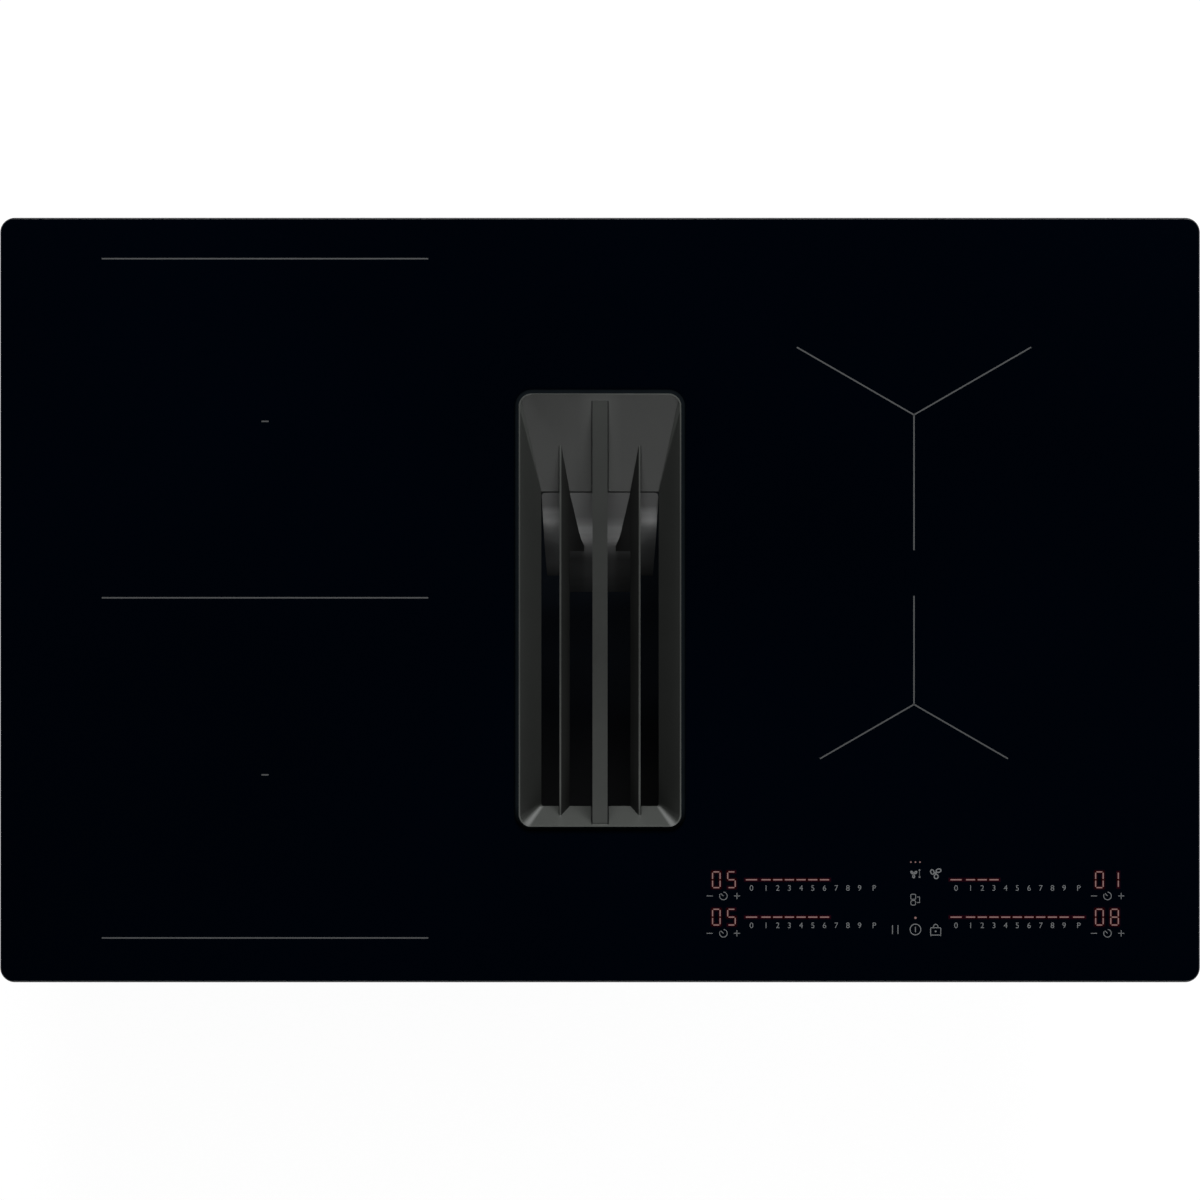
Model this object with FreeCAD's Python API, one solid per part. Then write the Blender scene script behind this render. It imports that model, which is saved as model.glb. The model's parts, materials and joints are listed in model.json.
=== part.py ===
import FreeCAD, Part
import math
import os

# A built-in induction cooktop with a downdraft extractor. It hangs in a worktop cut-out by its glass panel.
# Frame: origin at the centre of the worktop plane under the panel, X to the right, Y to the rear, Z up.
# All lengths are millimetres and all angles are degrees.

# Glass panel, its adhesive and the foam seal under its edge
glass_width = 816.0
glass_depth = 520.0
glass_thickness = 4.0
glass_corner = 10.0
glass_bevel = 0.8
seal_thickness = 1.5
seal_width = 8.0
seal_inset = 4.0
adhesive_thickness = 0.8
adhesive_width = 7.0

# Inlet hole in the glass, and the grille that rests over it
inlet_y = -6.9
hole_width = 112.0
hole_length = 296.0
hole_corner = 9.5
flange_overlap = 2.1
grille_seat_gap = 0.3
grille_clearance = 0.6
flange_edge = 0.4
rim_height = 1.5
rim_shoulder = 2.8
rim_land = 1.0
rim_steps = 4
funnel_height = 22.0
funnel_side_run = 14.2
funnel_front_run = 12.4
funnel_ramp_run = 65.2
funnel_wall = 2.2
funnel_ramp_wall = 7.0
funnel_top_corner = 3.0
funnel_rear_corner = 0.6
throat_corner = 1.5
rib_width = 10.2
rib_foot_width = 6.0
rib_drop = 1.3
rib_height = 14.0
rib_groove_width = 0.7
blade_offset = 27.0
blade_drop = 11.5
blade_thickness = 1.2
blade_lean = 28.5
blade_groove_width = 0.5
groove_depth = 1.6

# Filter basket, its curved air guide and its two grease meshes
ledge_drop = 4.7
basket_depth = 130.0
basket_wall = 2.0
basket_floor = 2.0
basket_corner = 6.0
basket_rim = 2.0
basket_rim_reach = 2.4
basket_clearance = 0.6
basket_window_length = 84.0
basket_window_height = 62.0
basket_window_sill = 26.0
basket_mullion = 8.0
basket_windows = 3
guide_gap = 0.5
guide_width = 80.0
guide_taper = 3.5
guide_sheet = 2.2
guide_bend_radius = 32.0
guide_steep_slope = 72.0
guide_lobe_run = 14.5
guide_tongue_run = 28.0
guide_tongue_width = 47.0
guide_end_height = 40.0
guide_seam = 0.8
guide_corner = 2.5
guide_shelf = 1.4
guide_fin_height = 14.0
guide_fin_lean = 35.0
guide_fin_reach = 40.0
mesh_thickness = 2.0
mesh_hole = 6.4
mesh_bar = 2.6
mesh_border = 5.0
mesh_post_gap = 0.4

# Inlet shaft from the glass down into the plenum
gasket_thickness = 2.0
gasket_width = 5.0
shaft_clearance = 1.0
shaft_wall = 2.0
shaft_ledge = 3.0
shaft_corner = 9.0
shaft_flange_reach = 6.0
shaft_flange = 2.0
shaft_floor = 2.5
shaft_floor_gap = 4.0
shaft_window_margin = 14.0
shaft_window_mullion = 10.0
collar_reach = 4.0
collar_height = 3.0
opening_clearance = 1.0
spout_radius = 11.0
spout_wall = 2.0
spout_height = 34.0

# Steel casing that holds the electronics under the glass
casing_overhang = 20.0
casing_overhang_front = 18.0
casing_depth = 57.0
casing_sheet = 1.0
casing_corner = 6.0
casing_flange = 12.0
slot_width = 3.6
slot_pitch = 9.0
wall_slot_height = 16.0
wall_slot_drop = 24.0
wall_slots = 14
wall_slot_bank_x = 220.0

# Coil tray and its pillars
coil_tray_drop = 14.7
coil_tray_sheet = 1.5
coil_tray_gap = 1.5
pillar_radius = 4.0
pillar_edge = 14.0
pillar_front_edge = 96.0
pillar_rear_edge = 22.0

# Induction coils: a mica sheet, a winding, a carrier with ferrite bars, a sensor and four pads each
coil_glass_gap = 0.3
mica_thickness = 0.4
mica_border = 2.0
winding_height = 4.0
winding_bore = 22.0
winding_turns = 8
turn_groove = 0.6
carrier_thickness = 2.0
carrier_border = 4.0
ferrite_width = 12.0
ferrite_height = 3.6
ferrite_bars = 8
sensor_radius = 5.0
sensor_hole = 6.0
pad_radius = 7.0
pad_circle_share = 0.72
pad_angle = 22.5
pads_a_coil = 4
left_zone_shift = 2.3
left_zone_corner = 62.0
left_zone_gap = 30.0
left_rear_shift = 0.5
left_front_shift = 2.1
right_zone_shift = 12.0
front_zone_radius = 72.5
front_zone_inset = 189.0
right_zone_gap = 34.4
rear_zone_gap = 26.1

# Power electronics, one board with a heat sink and a radial fan on each side
board_width = 236.0
board_front_gap = 28.0
board_fan_gap = 32.0
board_thickness = 1.6
board_lift = 10.0
peg_radius = 3.5
peg_inset = 12.0
sink_width = 66.0
sink_end_gap = 19.0
sink_height = 23.0
sink_base = 4.0
sink_fins = 9
sink_fin_thickness = 1.8
transistor_size = 15.0
transistor_thickness = 4.6
transistor_height = 19.0
transistors_a_side = 4
capacitor_radius = 11.0
capacitor_height = 22.0
capacitors = 4
choke_radius = 15.0
choke_bore = 7.0
choke_height = 13.0
chokes = 2

# Radial cooling fan of each power module
fan_terminal_gap = 4.0
fan_box = 112.0
fan_box_height = 29.0
fan_box_corner = 12.0
fan_wall = 1.6
fan_scroll_radius = 51.0
fan_outlet_width = 60.0
fan_intake_radius = 31.0
fan_radius = 44.0
fan_blade_chord = 9.0
fan_blades = 28
fan_height = 21.0
fan_gap = 1.6
fan_spindle_radius = 2.0
fan_motor_radius = 14.0
fan_motor_height = 8.0

# Touch control under the glass at the right front
control_width = 304.0
control_length = 54.0
control_side_gap = 21.8
control_front_gap = 0.4
control_wall = 1.6
control_board_lift = 3.0
control_post = 3.0
control_gap = 0.5
display_width = 25.0
display_length = 17.0
display_end_inset = 8.9
lightbar_width = 92.0
lightbar_length = 6.0
lightbar_inset = 36.6
control_row_spread = 25.8
spring_radius = 3.0
spring_pitch = 20.0
springs_a_row = 12
spring_row_y = 7.0

# Plenum under the casing
plenum_width = 432.0
plenum_right = 110.0
plenum_front = 175.0
plenum_rear = 215.0
plenum_depth = 149.0
plenum_wall = 2.5
plenum_corner = 14.0
plenum_flange = 10.0
plenum_flange_thickness = 3.0
plenum_base = 2.5
plenum_rib_reach = 2.0
plenum_rib_height = 4.0
plenum_rib_drop = 30.0
screws_a_side = 3

# Blower: volute, cover, impeller and motor
blower_y = -20.0
volute_lift = 10.0
volute_foot_radius = 7.0
volute_foot_circle = 78.0
volute_wall = 2.0
volute_gap = 3.0
volute_height = 84.0
volute_inner_radius = 90.0
volute_outer_radius = 125.0
volute_tongue_angle = 103.0
volute_channel = 110.0
volute_cover = 2.5
eye_radius = 60.0
eye_lip = 2.0
eye_lip_height = 8.0
impeller_radius = 84.0
impeller_blade_chord = 14.0
impeller_blades = 36
impeller_height = 71.0
impeller_lift = 7.0
impeller_plate = 2.0
impeller_hub_radius = 41.0
impeller_hub_height = 44.0
impeller_boss_radius = 9.0
impeller_boss_height = 10.0
blade_sheet = 1.2
blade_sweep = 9.0
grommet_radius = 5.5
grommet_height = 3.0
grommet_circle = 36.0
motor_plate = 2.0
motor_plate_radius = 44.0
motor_radius = 38.0
motor_height = 40.0
motor_cap = 2.0
rotor_radius = 20.0
rotor_gap = 0.6
axle_radius = 4.0
axle_clearance = 0.03
bearing_radius = 11.0
bearing_height = 7.0

# Outlet at the rear of the plenum
duct_width = 222.0
duct_height = 89.0
duct_wall = 2.0
duct_left_inset = 13.0
spigot_length = 32.0
spigot_flange_reach = 5.0
spigot_flange = 2.5

# Overflow tray that clips into the plenum base from below
tray_width = 83.0
tray_length = 261.0
tray_corner = 8.0
tray_clearance = 0.5
tray_wall = 2.0
tray_height = 24.0
tray_flange_reach = 6.0
tray_flange = 2.5
tray_grip_width = 26.0
tray_grip_reach = 9.0

# Terminal box and cable gland at the right rear
terminal_right_gap = 40.0
terminal_rear_gap = 6.0
terminal_width = 90.0
terminal_length = 64.0
terminal_height = 34.0
terminal_wall = 2.0
terminal_corner = 4.0
block_width = 62.0
block_length = 20.0
block_height = 16.0
block_poles = 6
block_screw_radius = 2.6
gland_bore = 6.5
gland_radius = 10.0
gland_fit = 0.1
gland_inner_length = 6.0
gland_flange_radius = 13.0
gland_flange = 4.0
gland_thread_length = 8.0
gland_nut_radius = 12.5
gland_nut_length = 10.0
gland_nut_bore = 8.0

# Brackets at both sides for the screws into the cut-out wall
bracket_y = 150.0
bracket_width = 30.0
bracket_sheet = 1.2
bracket_offset = 3.0
bracket_top = 6.0
bracket_height = 40.0
bracket_foot = 16.0
bracket_hole = 2.25
bracket_hole_drop = 9.0

# Pan-head screws, all alike
screw_radius = 2.0
screw_length = 7.0
screw_head_radius = 3.8
screw_head_height = 2.4
screw_fit = 0.1

# How far a cutting solid runs past the face that it cuts
overrun = 2.0

# Levels and places worked out from the sizes
glass_bottom = seal_thickness
glass_top = glass_bottom + glass_thickness
flange_bottom = glass_top + grille_seat_gap
rim_top = flange_bottom + rim_height
throat_level = rim_top - funnel_height
flange_width = hole_width + 2 * flange_overlap
flange_length = hole_length + 2 * flange_overlap
flange_corner = hole_corner + flange_overlap
ledge_level = throat_level - ledge_drop
shaft_top = glass_bottom - gasket_thickness
shaft_inner_width = hole_width - 2 * shaft_clearance
shaft_inner_length = hole_length - 2 * shaft_clearance
shaft_outer_width = shaft_inner_width + 2 * shaft_wall
shaft_outer_length = shaft_inner_length + 2 * shaft_wall
shaft_lower_width = shaft_inner_width - 2 * shaft_ledge
shaft_lower_length = shaft_inner_length - 2 * shaft_ledge
shaft_flange_width = shaft_outer_width + 2 * shaft_flange_reach
shaft_flange_length = shaft_outer_length + 2 * shaft_flange_reach
basket_width = shaft_lower_width - 2 * basket_clearance
basket_length = shaft_lower_length - 2 * basket_clearance
basket_bottom = ledge_level - basket_depth
shaft_floor_top = basket_bottom - shaft_floor_gap
shaft_bottom = shaft_floor_top - shaft_floor
casing_width = glass_width - 2 * casing_overhang
casing_length = glass_depth - 2 * casing_overhang_front
casing_top = glass_bottom - adhesive_thickness
casing_bottom = -casing_depth
casing_floor = casing_bottom + casing_sheet
coil_tray_top = glass_bottom - coil_tray_drop
coil_tray_bottom = coil_tray_top - coil_tray_sheet
winding_top = glass_bottom - coil_glass_gap - mica_thickness
carrier_top = winding_top - winding_height
carrier_bottom = carrier_top - carrier_thickness
left_zone_x = -(shaft_flange_width + casing_width) / 4 - left_zone_shift
left_zone_size = casing_length / 2 - left_zone_gap
left_rear_y = casing_length / 4 + left_rear_shift
left_front_y = -casing_length / 4 + left_front_shift
right_zone_x = (shaft_flange_width + casing_width) / 4 - right_zone_shift
front_zone_y = -glass_depth / 2 + front_zone_inset
rear_zone_front = front_zone_y + front_zone_radius + right_zone_gap
rear_zone_rear = casing_length / 2 - rear_zone_gap
rear_zone_radius = (rear_zone_rear - rear_zone_front) / 2
rear_zone_y = rear_zone_front + rear_zone_radius
board_bottom = casing_floor + board_lift
board_top = board_bottom + board_thickness
fan_floor_top = casing_floor + fan_wall
module_x = (shaft_outer_width + casing_width) / 4
fan_y = casing_length / 2 - terminal_rear_gap - terminal_length - fan_terminal_gap - fan_box / 2
board_front_y = -casing_length / 2 + board_front_gap
board_rear_y = fan_y - fan_box / 2 - board_fan_gap
board_length = board_rear_y - board_front_y
board_middle_y = (board_front_y + board_rear_y) / 2
sink_length = board_length - 2 * sink_end_gap
plenum_left = plenum_right - plenum_width
plenum_bottom = casing_bottom - plenum_depth
plenum_base_top = plenum_bottom + plenum_base
plenum_middle_x = (plenum_left + plenum_right) / 2
plenum_middle_y = (plenum_rear - plenum_front) / 2
plenum_length = plenum_front + plenum_rear
blower_x = plenum_left + plenum_wall + volute_gap + volute_wall + volute_outer_radius
volute_floor_bottom = plenum_base_top + volute_lift
volute_floor_top = volute_floor_bottom + volute_wall
volute_top = volute_floor_top + volute_height
volute_rear = plenum_rear - plenum_wall - guide_gap
duct_x = plenum_left + duct_left_inset + duct_width / 2
duct_level = (volute_floor_top + volute_top) / 2
grommet_top = volute_floor_top + grommet_height
motor_bottom = grommet_top + motor_plate
motor_top = motor_bottom + motor_height
impeller_bottom = volute_floor_top + impeller_lift
impeller_hub_top = impeller_bottom + impeller_hub_height
tray_top = plenum_base_top + tray_height


def point(x, y, z):
    return FreeCAD.Vector(x, y, z)


def box(x_low, x_high, y_low, y_high, z_low, z_high):
    return Part.makeBox(x_high - x_low, y_high - y_low, z_high - z_low, point(x_low, y_low, z_low))


def cylinder(x, y, radius, z_low, z_high):
    return Part.makeCylinder(radius, z_high - z_low, point(x, y, z_low))


def rounded_wire(x, y, width, length, corner, z):
    """A rounded rectangle at height z, drawn anticlockwise from its front side."""
    diagonal = corner * math.sqrt(0.5)
    edges = []
    turn = ((1, -1), (1, 1), (-1, 1), (-1, -1))
    ends = []
    for side_x, side_y in turn:
        centre = point(x + side_x * (width / 2 - corner), y + side_y * (length / 2 - corner), z)
        flat = centre + point(0, side_y * corner, 0)
        upright = centre + point(side_x * corner, 0, 0)
        middle = centre + point(side_x * diagonal, side_y * diagonal, 0)
        first, last = (flat, upright) if side_x * side_y < 0 else (upright, flat)
        ends.append((first, middle, last))
    for index, (first, middle, last) in enumerate(ends):
        edges.append(Part.Arc(first, middle, last).toShape())
        edges.append(Part.LineSegment(last, ends[(index + 1) % len(ends)][0]).toShape())
    return Part.Wire(edges)


def plate(x, y, width, length, corner, z_low, z_high):
    """A rounded rectangular plate or block."""
    face = Part.Face(rounded_wire(x, y, width, length, corner, z_low))
    return face.extrude(point(0, 0, z_high - z_low))


def frame(x, y, width, length, corner, wall, z_low, z_high):
    """A rounded rectangular ring with an even wall."""
    outside = plate(x, y, width, length, corner, z_low, z_high)
    inside = plate(
        x, y, width - 2 * wall, length - 2 * wall, max(corner - wall, corner / 3),
        z_low - overrun, z_high + overrun,
    )
    return outside.cut(inside)


def ring(x, y, outer_radius, inner_radius, z_low, z_high):
    return cylinder(x, y, outer_radius, z_low, z_high).cut(
        cylinder(x, y, inner_radius, z_low - overrun, z_high + overrun)
    )


def prism(points, direction):
    """A straight prism on a closed outline of points."""
    outline = Part.makePolygon([*points, points[0]])
    return Part.Face(outline).extrude(direction)


def screw(x, y, z, axis):
    """A pan-head screw whose head sits on (x, y, z) and whose shank points along axis."""
    seat = point(x, y, z)
    head = Part.makeCylinder(screw_head_radius, screw_head_height, seat, -axis)
    shank = Part.makeCylinder(screw_radius, screw_length, seat, axis)
    return head.fuse(shank)


def screw_hole(x, y, z, axis):
    """The hole for a screw placed at the same spot."""
    start = point(x, y, z) - axis * overrun
    return Part.makeCylinder(screw_radius + screw_fit, screw_length + 2 * overrun, start, axis)


def save(name, shape):
    os.makedirs("parts", exist_ok=True)
    shape.exportStep("parts/" + name + ".step")


def save_group(name, shapes):
    save(name, Part.makeCompound(shapes))


# Glass, seal and adhesive

def glass_panel():
    """The ceramic glass with a ground bevel round its top edge and a hole for the grille."""
    slim = glass_bevel * 2
    panel = Part.makeLoft(
        [
            rounded_wire(0, 0, glass_width, glass_depth, glass_corner, glass_bottom),
            rounded_wire(0, 0, glass_width, glass_depth, glass_corner, glass_top - glass_bevel),
            rounded_wire(0, 0, glass_width - slim, glass_depth - slim, glass_corner - glass_bevel, glass_top),
        ],
        True,
        True,
    )
    hole = plate(
        0, inlet_y, hole_width, hole_length, hole_corner, glass_bottom - overrun, glass_top + overrun
    )
    return panel.cut(hole)


def worktop_seal():
    """The foam tape that the glass rests on."""
    width = glass_width - 2 * seal_inset
    length = glass_depth - 2 * seal_inset
    return frame(0, 0, width, length, glass_corner, seal_width, 0, seal_thickness)


def glass_adhesive():
    """The silicone bead between the casing flange and the glass."""
    margin = casing_flange - adhesive_width
    width = casing_width - margin
    length = casing_length - margin
    return frame(0, 0, width, length, casing_corner, adhesive_width, casing_top, glass_bottom)


# Inlet grille

def funnel_sections():
    """Size and centre of the funnel's opening at the rim and at the throat."""
    top_width = flange_width - 2 * (rim_shoulder + rim_land)
    top_length = flange_length - 2 * (rim_shoulder + rim_land)
    throat_width = top_width - 2 * funnel_side_run
    throat_length = top_length - funnel_front_run - funnel_ramp_run
    throat_y = inlet_y + (funnel_front_run - funnel_ramp_run) / 2
    return top_width, top_length, throat_width, throat_length, throat_y


def throat_rear_y():
    _, _, _, throat_length, throat_y = funnel_sections()
    return throat_y + throat_length / 2


def grille_envelope():
    """The grille without its cavity: a flange over the glass and a tapering body through the hole."""
    _, _, throat_width, throat_length, throat_y = funnel_sections()
    sections = [rounded_wire(0, inlet_y, flange_width, flange_length, flange_corner, flange_bottom)]
    for step in range(rim_steps + 1):
        angle = math.radians(90) * step / rim_steps
        inset = rim_shoulder * (1 - math.cos(angle))
        level = flange_bottom + flange_edge + (rim_height - flange_edge) * math.sin(angle)
        sections.append(
            rounded_wire(
                0, inlet_y, flange_width - 2 * inset, flange_length - 2 * inset, flange_corner - inset, level
            )
        )
    flange = Part.makeLoft(sections, True, True)
    neck_width = hole_width - 2 * grille_clearance
    neck_length = hole_length - 2 * grille_clearance
    body = Part.makeLoft(
        [
            rounded_wire(
                0, inlet_y, neck_width, neck_length, hole_corner - grille_clearance,
                flange_bottom + flange_edge,
            ),
            rounded_wire(
                0, inlet_y, neck_width, neck_length, hole_corner - grille_clearance, flange_bottom - flange_edge
            ),
            rounded_wire(
                0, throat_y + (funnel_ramp_wall - funnel_wall) / 2, throat_width + 2 * funnel_wall,
                throat_length + funnel_wall + funnel_ramp_wall, throat_corner + funnel_wall, throat_level,
            ),
        ],
        True,
        True,
    )
    return flange.fuse(body)


def funnel_hollow(top_corner, low_corner, y_low, y_high):
    """The funnel's hollow between two places along Y, its folds rounded at the rim and at the throat."""
    top_width, top_length, throat_width, throat_length, throat_y = funnel_sections()
    hollow = Part.makeLoft(
        [
            rounded_wire(0, inlet_y, top_width, top_length, top_corner, rim_top + overrun),
            rounded_wire(0, inlet_y, top_width, top_length, top_corner, rim_top),
            rounded_wire(0, throat_y, throat_width, throat_length, low_corner, throat_level),
            rounded_wire(0, throat_y, throat_width, throat_length, low_corner, throat_level - overrun),
        ],
        True,
        True,
    )
    kept = box(-top_width, top_width, y_low, y_high, throat_level - 2 * overrun, rim_top + 2 * overrun)
    return hollow.common(kept)


def grille_cavity():
    """Steep side and front walls with rounded folds, and a gentle ramp with crisp ones, inside the rim."""
    top_width, top_length, _, _, throat_y = funnel_sections()
    front = funnel_hollow(funnel_top_corner, throat_corner, throat_y - top_length, throat_y)
    rear = funnel_hollow(funnel_rear_corner, funnel_rear_corner, throat_y, throat_y + top_length)
    rim_corner = flange_corner - rim_shoulder - rim_land
    column = plate(
        0, inlet_y, top_width, top_length, rim_corner, throat_level - 2 * overrun, rim_top + 2 * overrun
    )
    return front.fuse(rear).removeSplitter().common(column)


def grille_grooves():
    """Shallow grooves in the ramp and the front wall beside the rib and along the blades' outer sides."""
    _, top_length, _, _, _ = funnel_sections()
    front = inlet_y - top_length / 2
    rear = inlet_y + top_length / 2
    face = blade_offset + blade_thickness / 2
    slabs = []
    for drop, inner, outer in (
        (rib_drop, rib_foot_width / 2, rib_width / 2 + rib_groove_width),
        (blade_drop, face - blade_groove_width, face + blade_groove_width),
    ):
        share = drop / funnel_height
        start = front + share * funnel_front_run
        end = rear - share * funnel_ramp_run
        for side in (-1, 1):
            left, right = sorted((side * inner, side * outer))
            slabs.append(box(left, right, start, end, throat_level - overrun, rim_top))
    lowered = grille_cavity().translated(point(0, 0, -groove_depth))
    return [slab.common(lowered) for slab in slabs]


def rib_and_blades():
    """The wide middle rib and the two leaning blades, as long as the flange."""
    start = inlet_y - flange_length / 2
    along = point(0, flange_length, 0)
    rib_top = rim_top - rib_drop
    rib_bottom = rib_top - rib_height
    rib = prism(
        [
            point(-rib_width / 2, start, rib_top),
            point(rib_width / 2, start, rib_top),
            point(rib_foot_width / 2, start, rib_bottom),
            point(-rib_foot_width / 2, start, rib_bottom),
        ],
        along,
    )
    blade_top = rim_top - blade_drop
    blade_run = (blade_top - throat_level) * math.tan(math.radians(blade_lean))
    half = blade_thickness / 2
    members = [rib]
    for side in (-1, 1):
        top_x = side * blade_offset
        foot_x = side * (blade_offset - blade_run)
        members.append(
            prism(
                [
                    point(top_x - half, start, blade_top),
                    point(top_x + half, start, blade_top),
                    point(foot_x + half, start, throat_level),
                    point(foot_x - half, start, throat_level),
                ],
                along,
            )
        )
    return members


def inlet_grille():
    envelope = grille_envelope()
    members = [envelope.common(member) for member in rib_and_blades()]
    return envelope.cut([grille_cavity(), *grille_grooves()]).fuse(members).removeSplitter()


# Filter basket, air guide and grease meshes

def basket_window_places():
    """The middle of each window along the basket's long sides."""
    pitch = basket_window_length + basket_mullion
    first = inlet_y - pitch * (basket_windows - 1) / 2
    return [first + pitch * index for index in range(basket_windows)]


def filter_basket():
    """A deep basket with a drip trough at the bottom, windows in its long sides and a rim that hangs on the ledge."""
    top = ledge_level + basket_rim
    body = plate(0, inlet_y, basket_width, basket_length, basket_corner, basket_bottom, top)
    rim = plate(
        0, inlet_y, basket_width + 2 * basket_rim_reach, basket_length + 2 * basket_rim_reach,
        basket_corner + basket_rim_reach, ledge_level, top,
    )
    hollow = plate(
        0, inlet_y, basket_width - 2 * basket_wall, basket_length - 2 * basket_wall,
        basket_corner - basket_wall, basket_bottom + basket_floor, top + overrun,
    )
    sill = basket_bottom + basket_window_sill
    windows = []
    for y in basket_window_places():
        windows.append(
            box(
                -basket_width, basket_width, y - basket_window_length / 2, y + basket_window_length / 2,
                sill, sill + basket_window_height,
            )
        )
    return body.fuse(rim).cut([hollow, *windows]).removeSplitter()


def grease_mesh(side):
    """A perforated panel that stands inside the windows of one long side."""
    length = basket_windows * basket_window_length + (basket_windows - 1) * basket_mullion + 2 * mesh_border
    height = basket_window_height + 2 * mesh_border
    outer_x = basket_width / 2 - basket_wall - mesh_post_gap
    bottom = basket_bottom + basket_window_sill - mesh_border
    pitch = mesh_hole + mesh_bar
    columns = int((length - 2 * mesh_border + mesh_bar) // pitch)
    rows = int((height - 2 * mesh_border + mesh_bar) // pitch)
    y_first = inlet_y - pitch * (columns - 1) / 2
    z_first = bottom + height / 2 - pitch * (rows - 1) / 2
    x = side * outer_x
    corners = [
        point(x, inlet_y - length / 2, bottom),
        point(x, inlet_y + length / 2, bottom),
        point(x, inlet_y + length / 2, bottom + height),
        point(x, inlet_y - length / 2, bottom + height),
    ]
    outline = Part.makePolygon([*corners, corners[0]])
    holes = []
    for column in range(columns):
        for row in range(rows):
            y = y_first + pitch * column
            z = z_first + pitch * row
            tips = [
                point(x, y - mesh_hole / 2, z),
                point(x, y, z - mesh_hole / 2),
                point(x, y + mesh_hole / 2, z),
                point(x, y, z + mesh_hole / 2),
            ]
            holes.append(Part.makePolygon([*tips, tips[0]]))
    panel = Part.makeFace([outline, *holes], "Part::FaceMakerBullseye")
    return panel.extrude(point(-side * mesh_thickness, 0, 0))


def guide_sheet_piece(run, x_low, x_high):
    """One strip of the guide's curved sheet: a gentle slope, a bend and a steep slope."""
    gentle = math.atan2(funnel_height, funnel_ramp_run)
    steep = math.radians(guide_steep_slope)
    middle = (gentle + steep) / 2

    def along(slope):
        return point(0, -math.cos(slope), -math.sin(slope))

    def upward(slope):
        return point(0, -math.sin(slope), math.cos(slope))

    start = point(x_low, throat_rear_y() - guide_seam, throat_level - guide_gap)
    bend = start + along(gentle) * run
    centre = bend - upward(gentle) * guide_bend_radius
    turned = centre + upward(steep) * guide_bend_radius
    drop = turned.z - (basket_bottom + guide_end_height)
    end = turned + along(steep) * (drop / math.sin(steep))
    inner_radius = guide_bend_radius - guide_sheet
    start_inner = start - upward(gentle) * guide_sheet
    bend_inner = centre + upward(gentle) * inner_radius
    turned_inner = centre + upward(steep) * inner_radius
    end_inner = end - upward(steep) * guide_sheet
    outer_middle = centre + upward(middle) * guide_bend_radius
    inner_middle = centre + upward(middle) * inner_radius
    edges = [
        Part.LineSegment(start, bend).toShape(),
        Part.Arc(bend, outer_middle, turned).toShape(),
        Part.LineSegment(turned, end).toShape(),
        Part.LineSegment(end, end_inner).toShape(),
        Part.LineSegment(end_inner, turned_inner).toShape(),
        Part.Arc(turned_inner, inner_middle, bend_inner).toShape(),
        Part.LineSegment(bend_inner, start_inner).toShape(),
        Part.LineSegment(start_inner, start).toShape(),
    ]
    return Part.Face(Part.Wire(edges)).extrude(point(x_high - x_low, 0, 0))


def guide_outline():
    """The guide's plan below the seam: two rounded corners, then sides that draw in towards the front."""
    seam_y = throat_rear_y() - guide_seam
    half = guide_width / 2
    narrow = half - guide_taper
    waist_y = seam_y - funnel_ramp_run
    front_y = inlet_y - basket_length / 2
    outline = prism(
        [
            point(-half, seam_y, basket_bottom),
            point(half, seam_y, basket_bottom),
            point(narrow, waist_y, basket_bottom),
            point(narrow, front_y, basket_bottom),
            point(-narrow, front_y, basket_bottom),
            point(-narrow, waist_y, basket_bottom),
        ],
        point(0, 0, -basket_bottom),
    )
    corners = []
    for edge in outline.Edges:
        upright = edge.BoundBox.ZLength > -basket_bottom / 2
        if upright and abs(edge.CenterOfMass.y - seam_y) < guide_corner:
            corners.append(edge)
    return outline.makeFillet(guide_corner, corners)


def guide_fin(side):
    """A leaning fin that carries on under one blade."""
    seam_y = throat_rear_y() - guide_seam
    top = throat_level - guide_gap
    blade_run = (rim_top - blade_drop - throat_level) * math.tan(math.radians(blade_lean))
    fin_run = guide_fin_height * math.tan(math.radians(guide_fin_lean))
    top_x = side * (blade_offset - blade_run)
    foot_x = side * (blade_offset - blade_run - fin_run)
    half = blade_thickness / 2
    return prism(
        [
            point(top_x - half, seam_y, top),
            point(top_x + half, seam_y, top),
            point(foot_x + half, seam_y, top - guide_fin_height),
            point(foot_x - half, seam_y, top - guide_fin_height),
        ],
        point(0, -guide_fin_reach, 0),
    )


def air_guide():
    """A shelf on the basket's rim that turns down into two outer lobes, a middle tongue and two fins."""
    seam_y = throat_rear_y() - guide_seam
    half = guide_width / 2
    shelf_bottom = ledge_level + basket_rim
    shelf = box(
        -basket_width / 2, basket_width / 2, seam_y, inlet_y + basket_length / 2,
        shelf_bottom, shelf_bottom + guide_shelf,
    )
    strips = [guide_sheet_piece(guide_tongue_run, -guide_tongue_width / 2, guide_tongue_width / 2)]
    for side in (-1, 1):
        inner_x, outer_x = sorted((side * guide_tongue_width / 2, side * half))
        strips.append(guide_sheet_piece(guide_lobe_run, inner_x, outer_x))
        strips.append(guide_fin(side))
    outline = guide_outline()
    trimmed = [strip.common(outline) for strip in strips]
    root_zone = box(
        guide_corner - half, half - guide_corner, seam_y, seam_y + guide_sheet,
        shelf_bottom, shelf_bottom + guide_shelf,
    )
    roots = [strip.common(root_zone) for strip in strips]
    return shelf.fuse([*trimmed, *[root for root in roots if root.Volume > 0]]).removeSplitter()


# Inlet shaft

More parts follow.
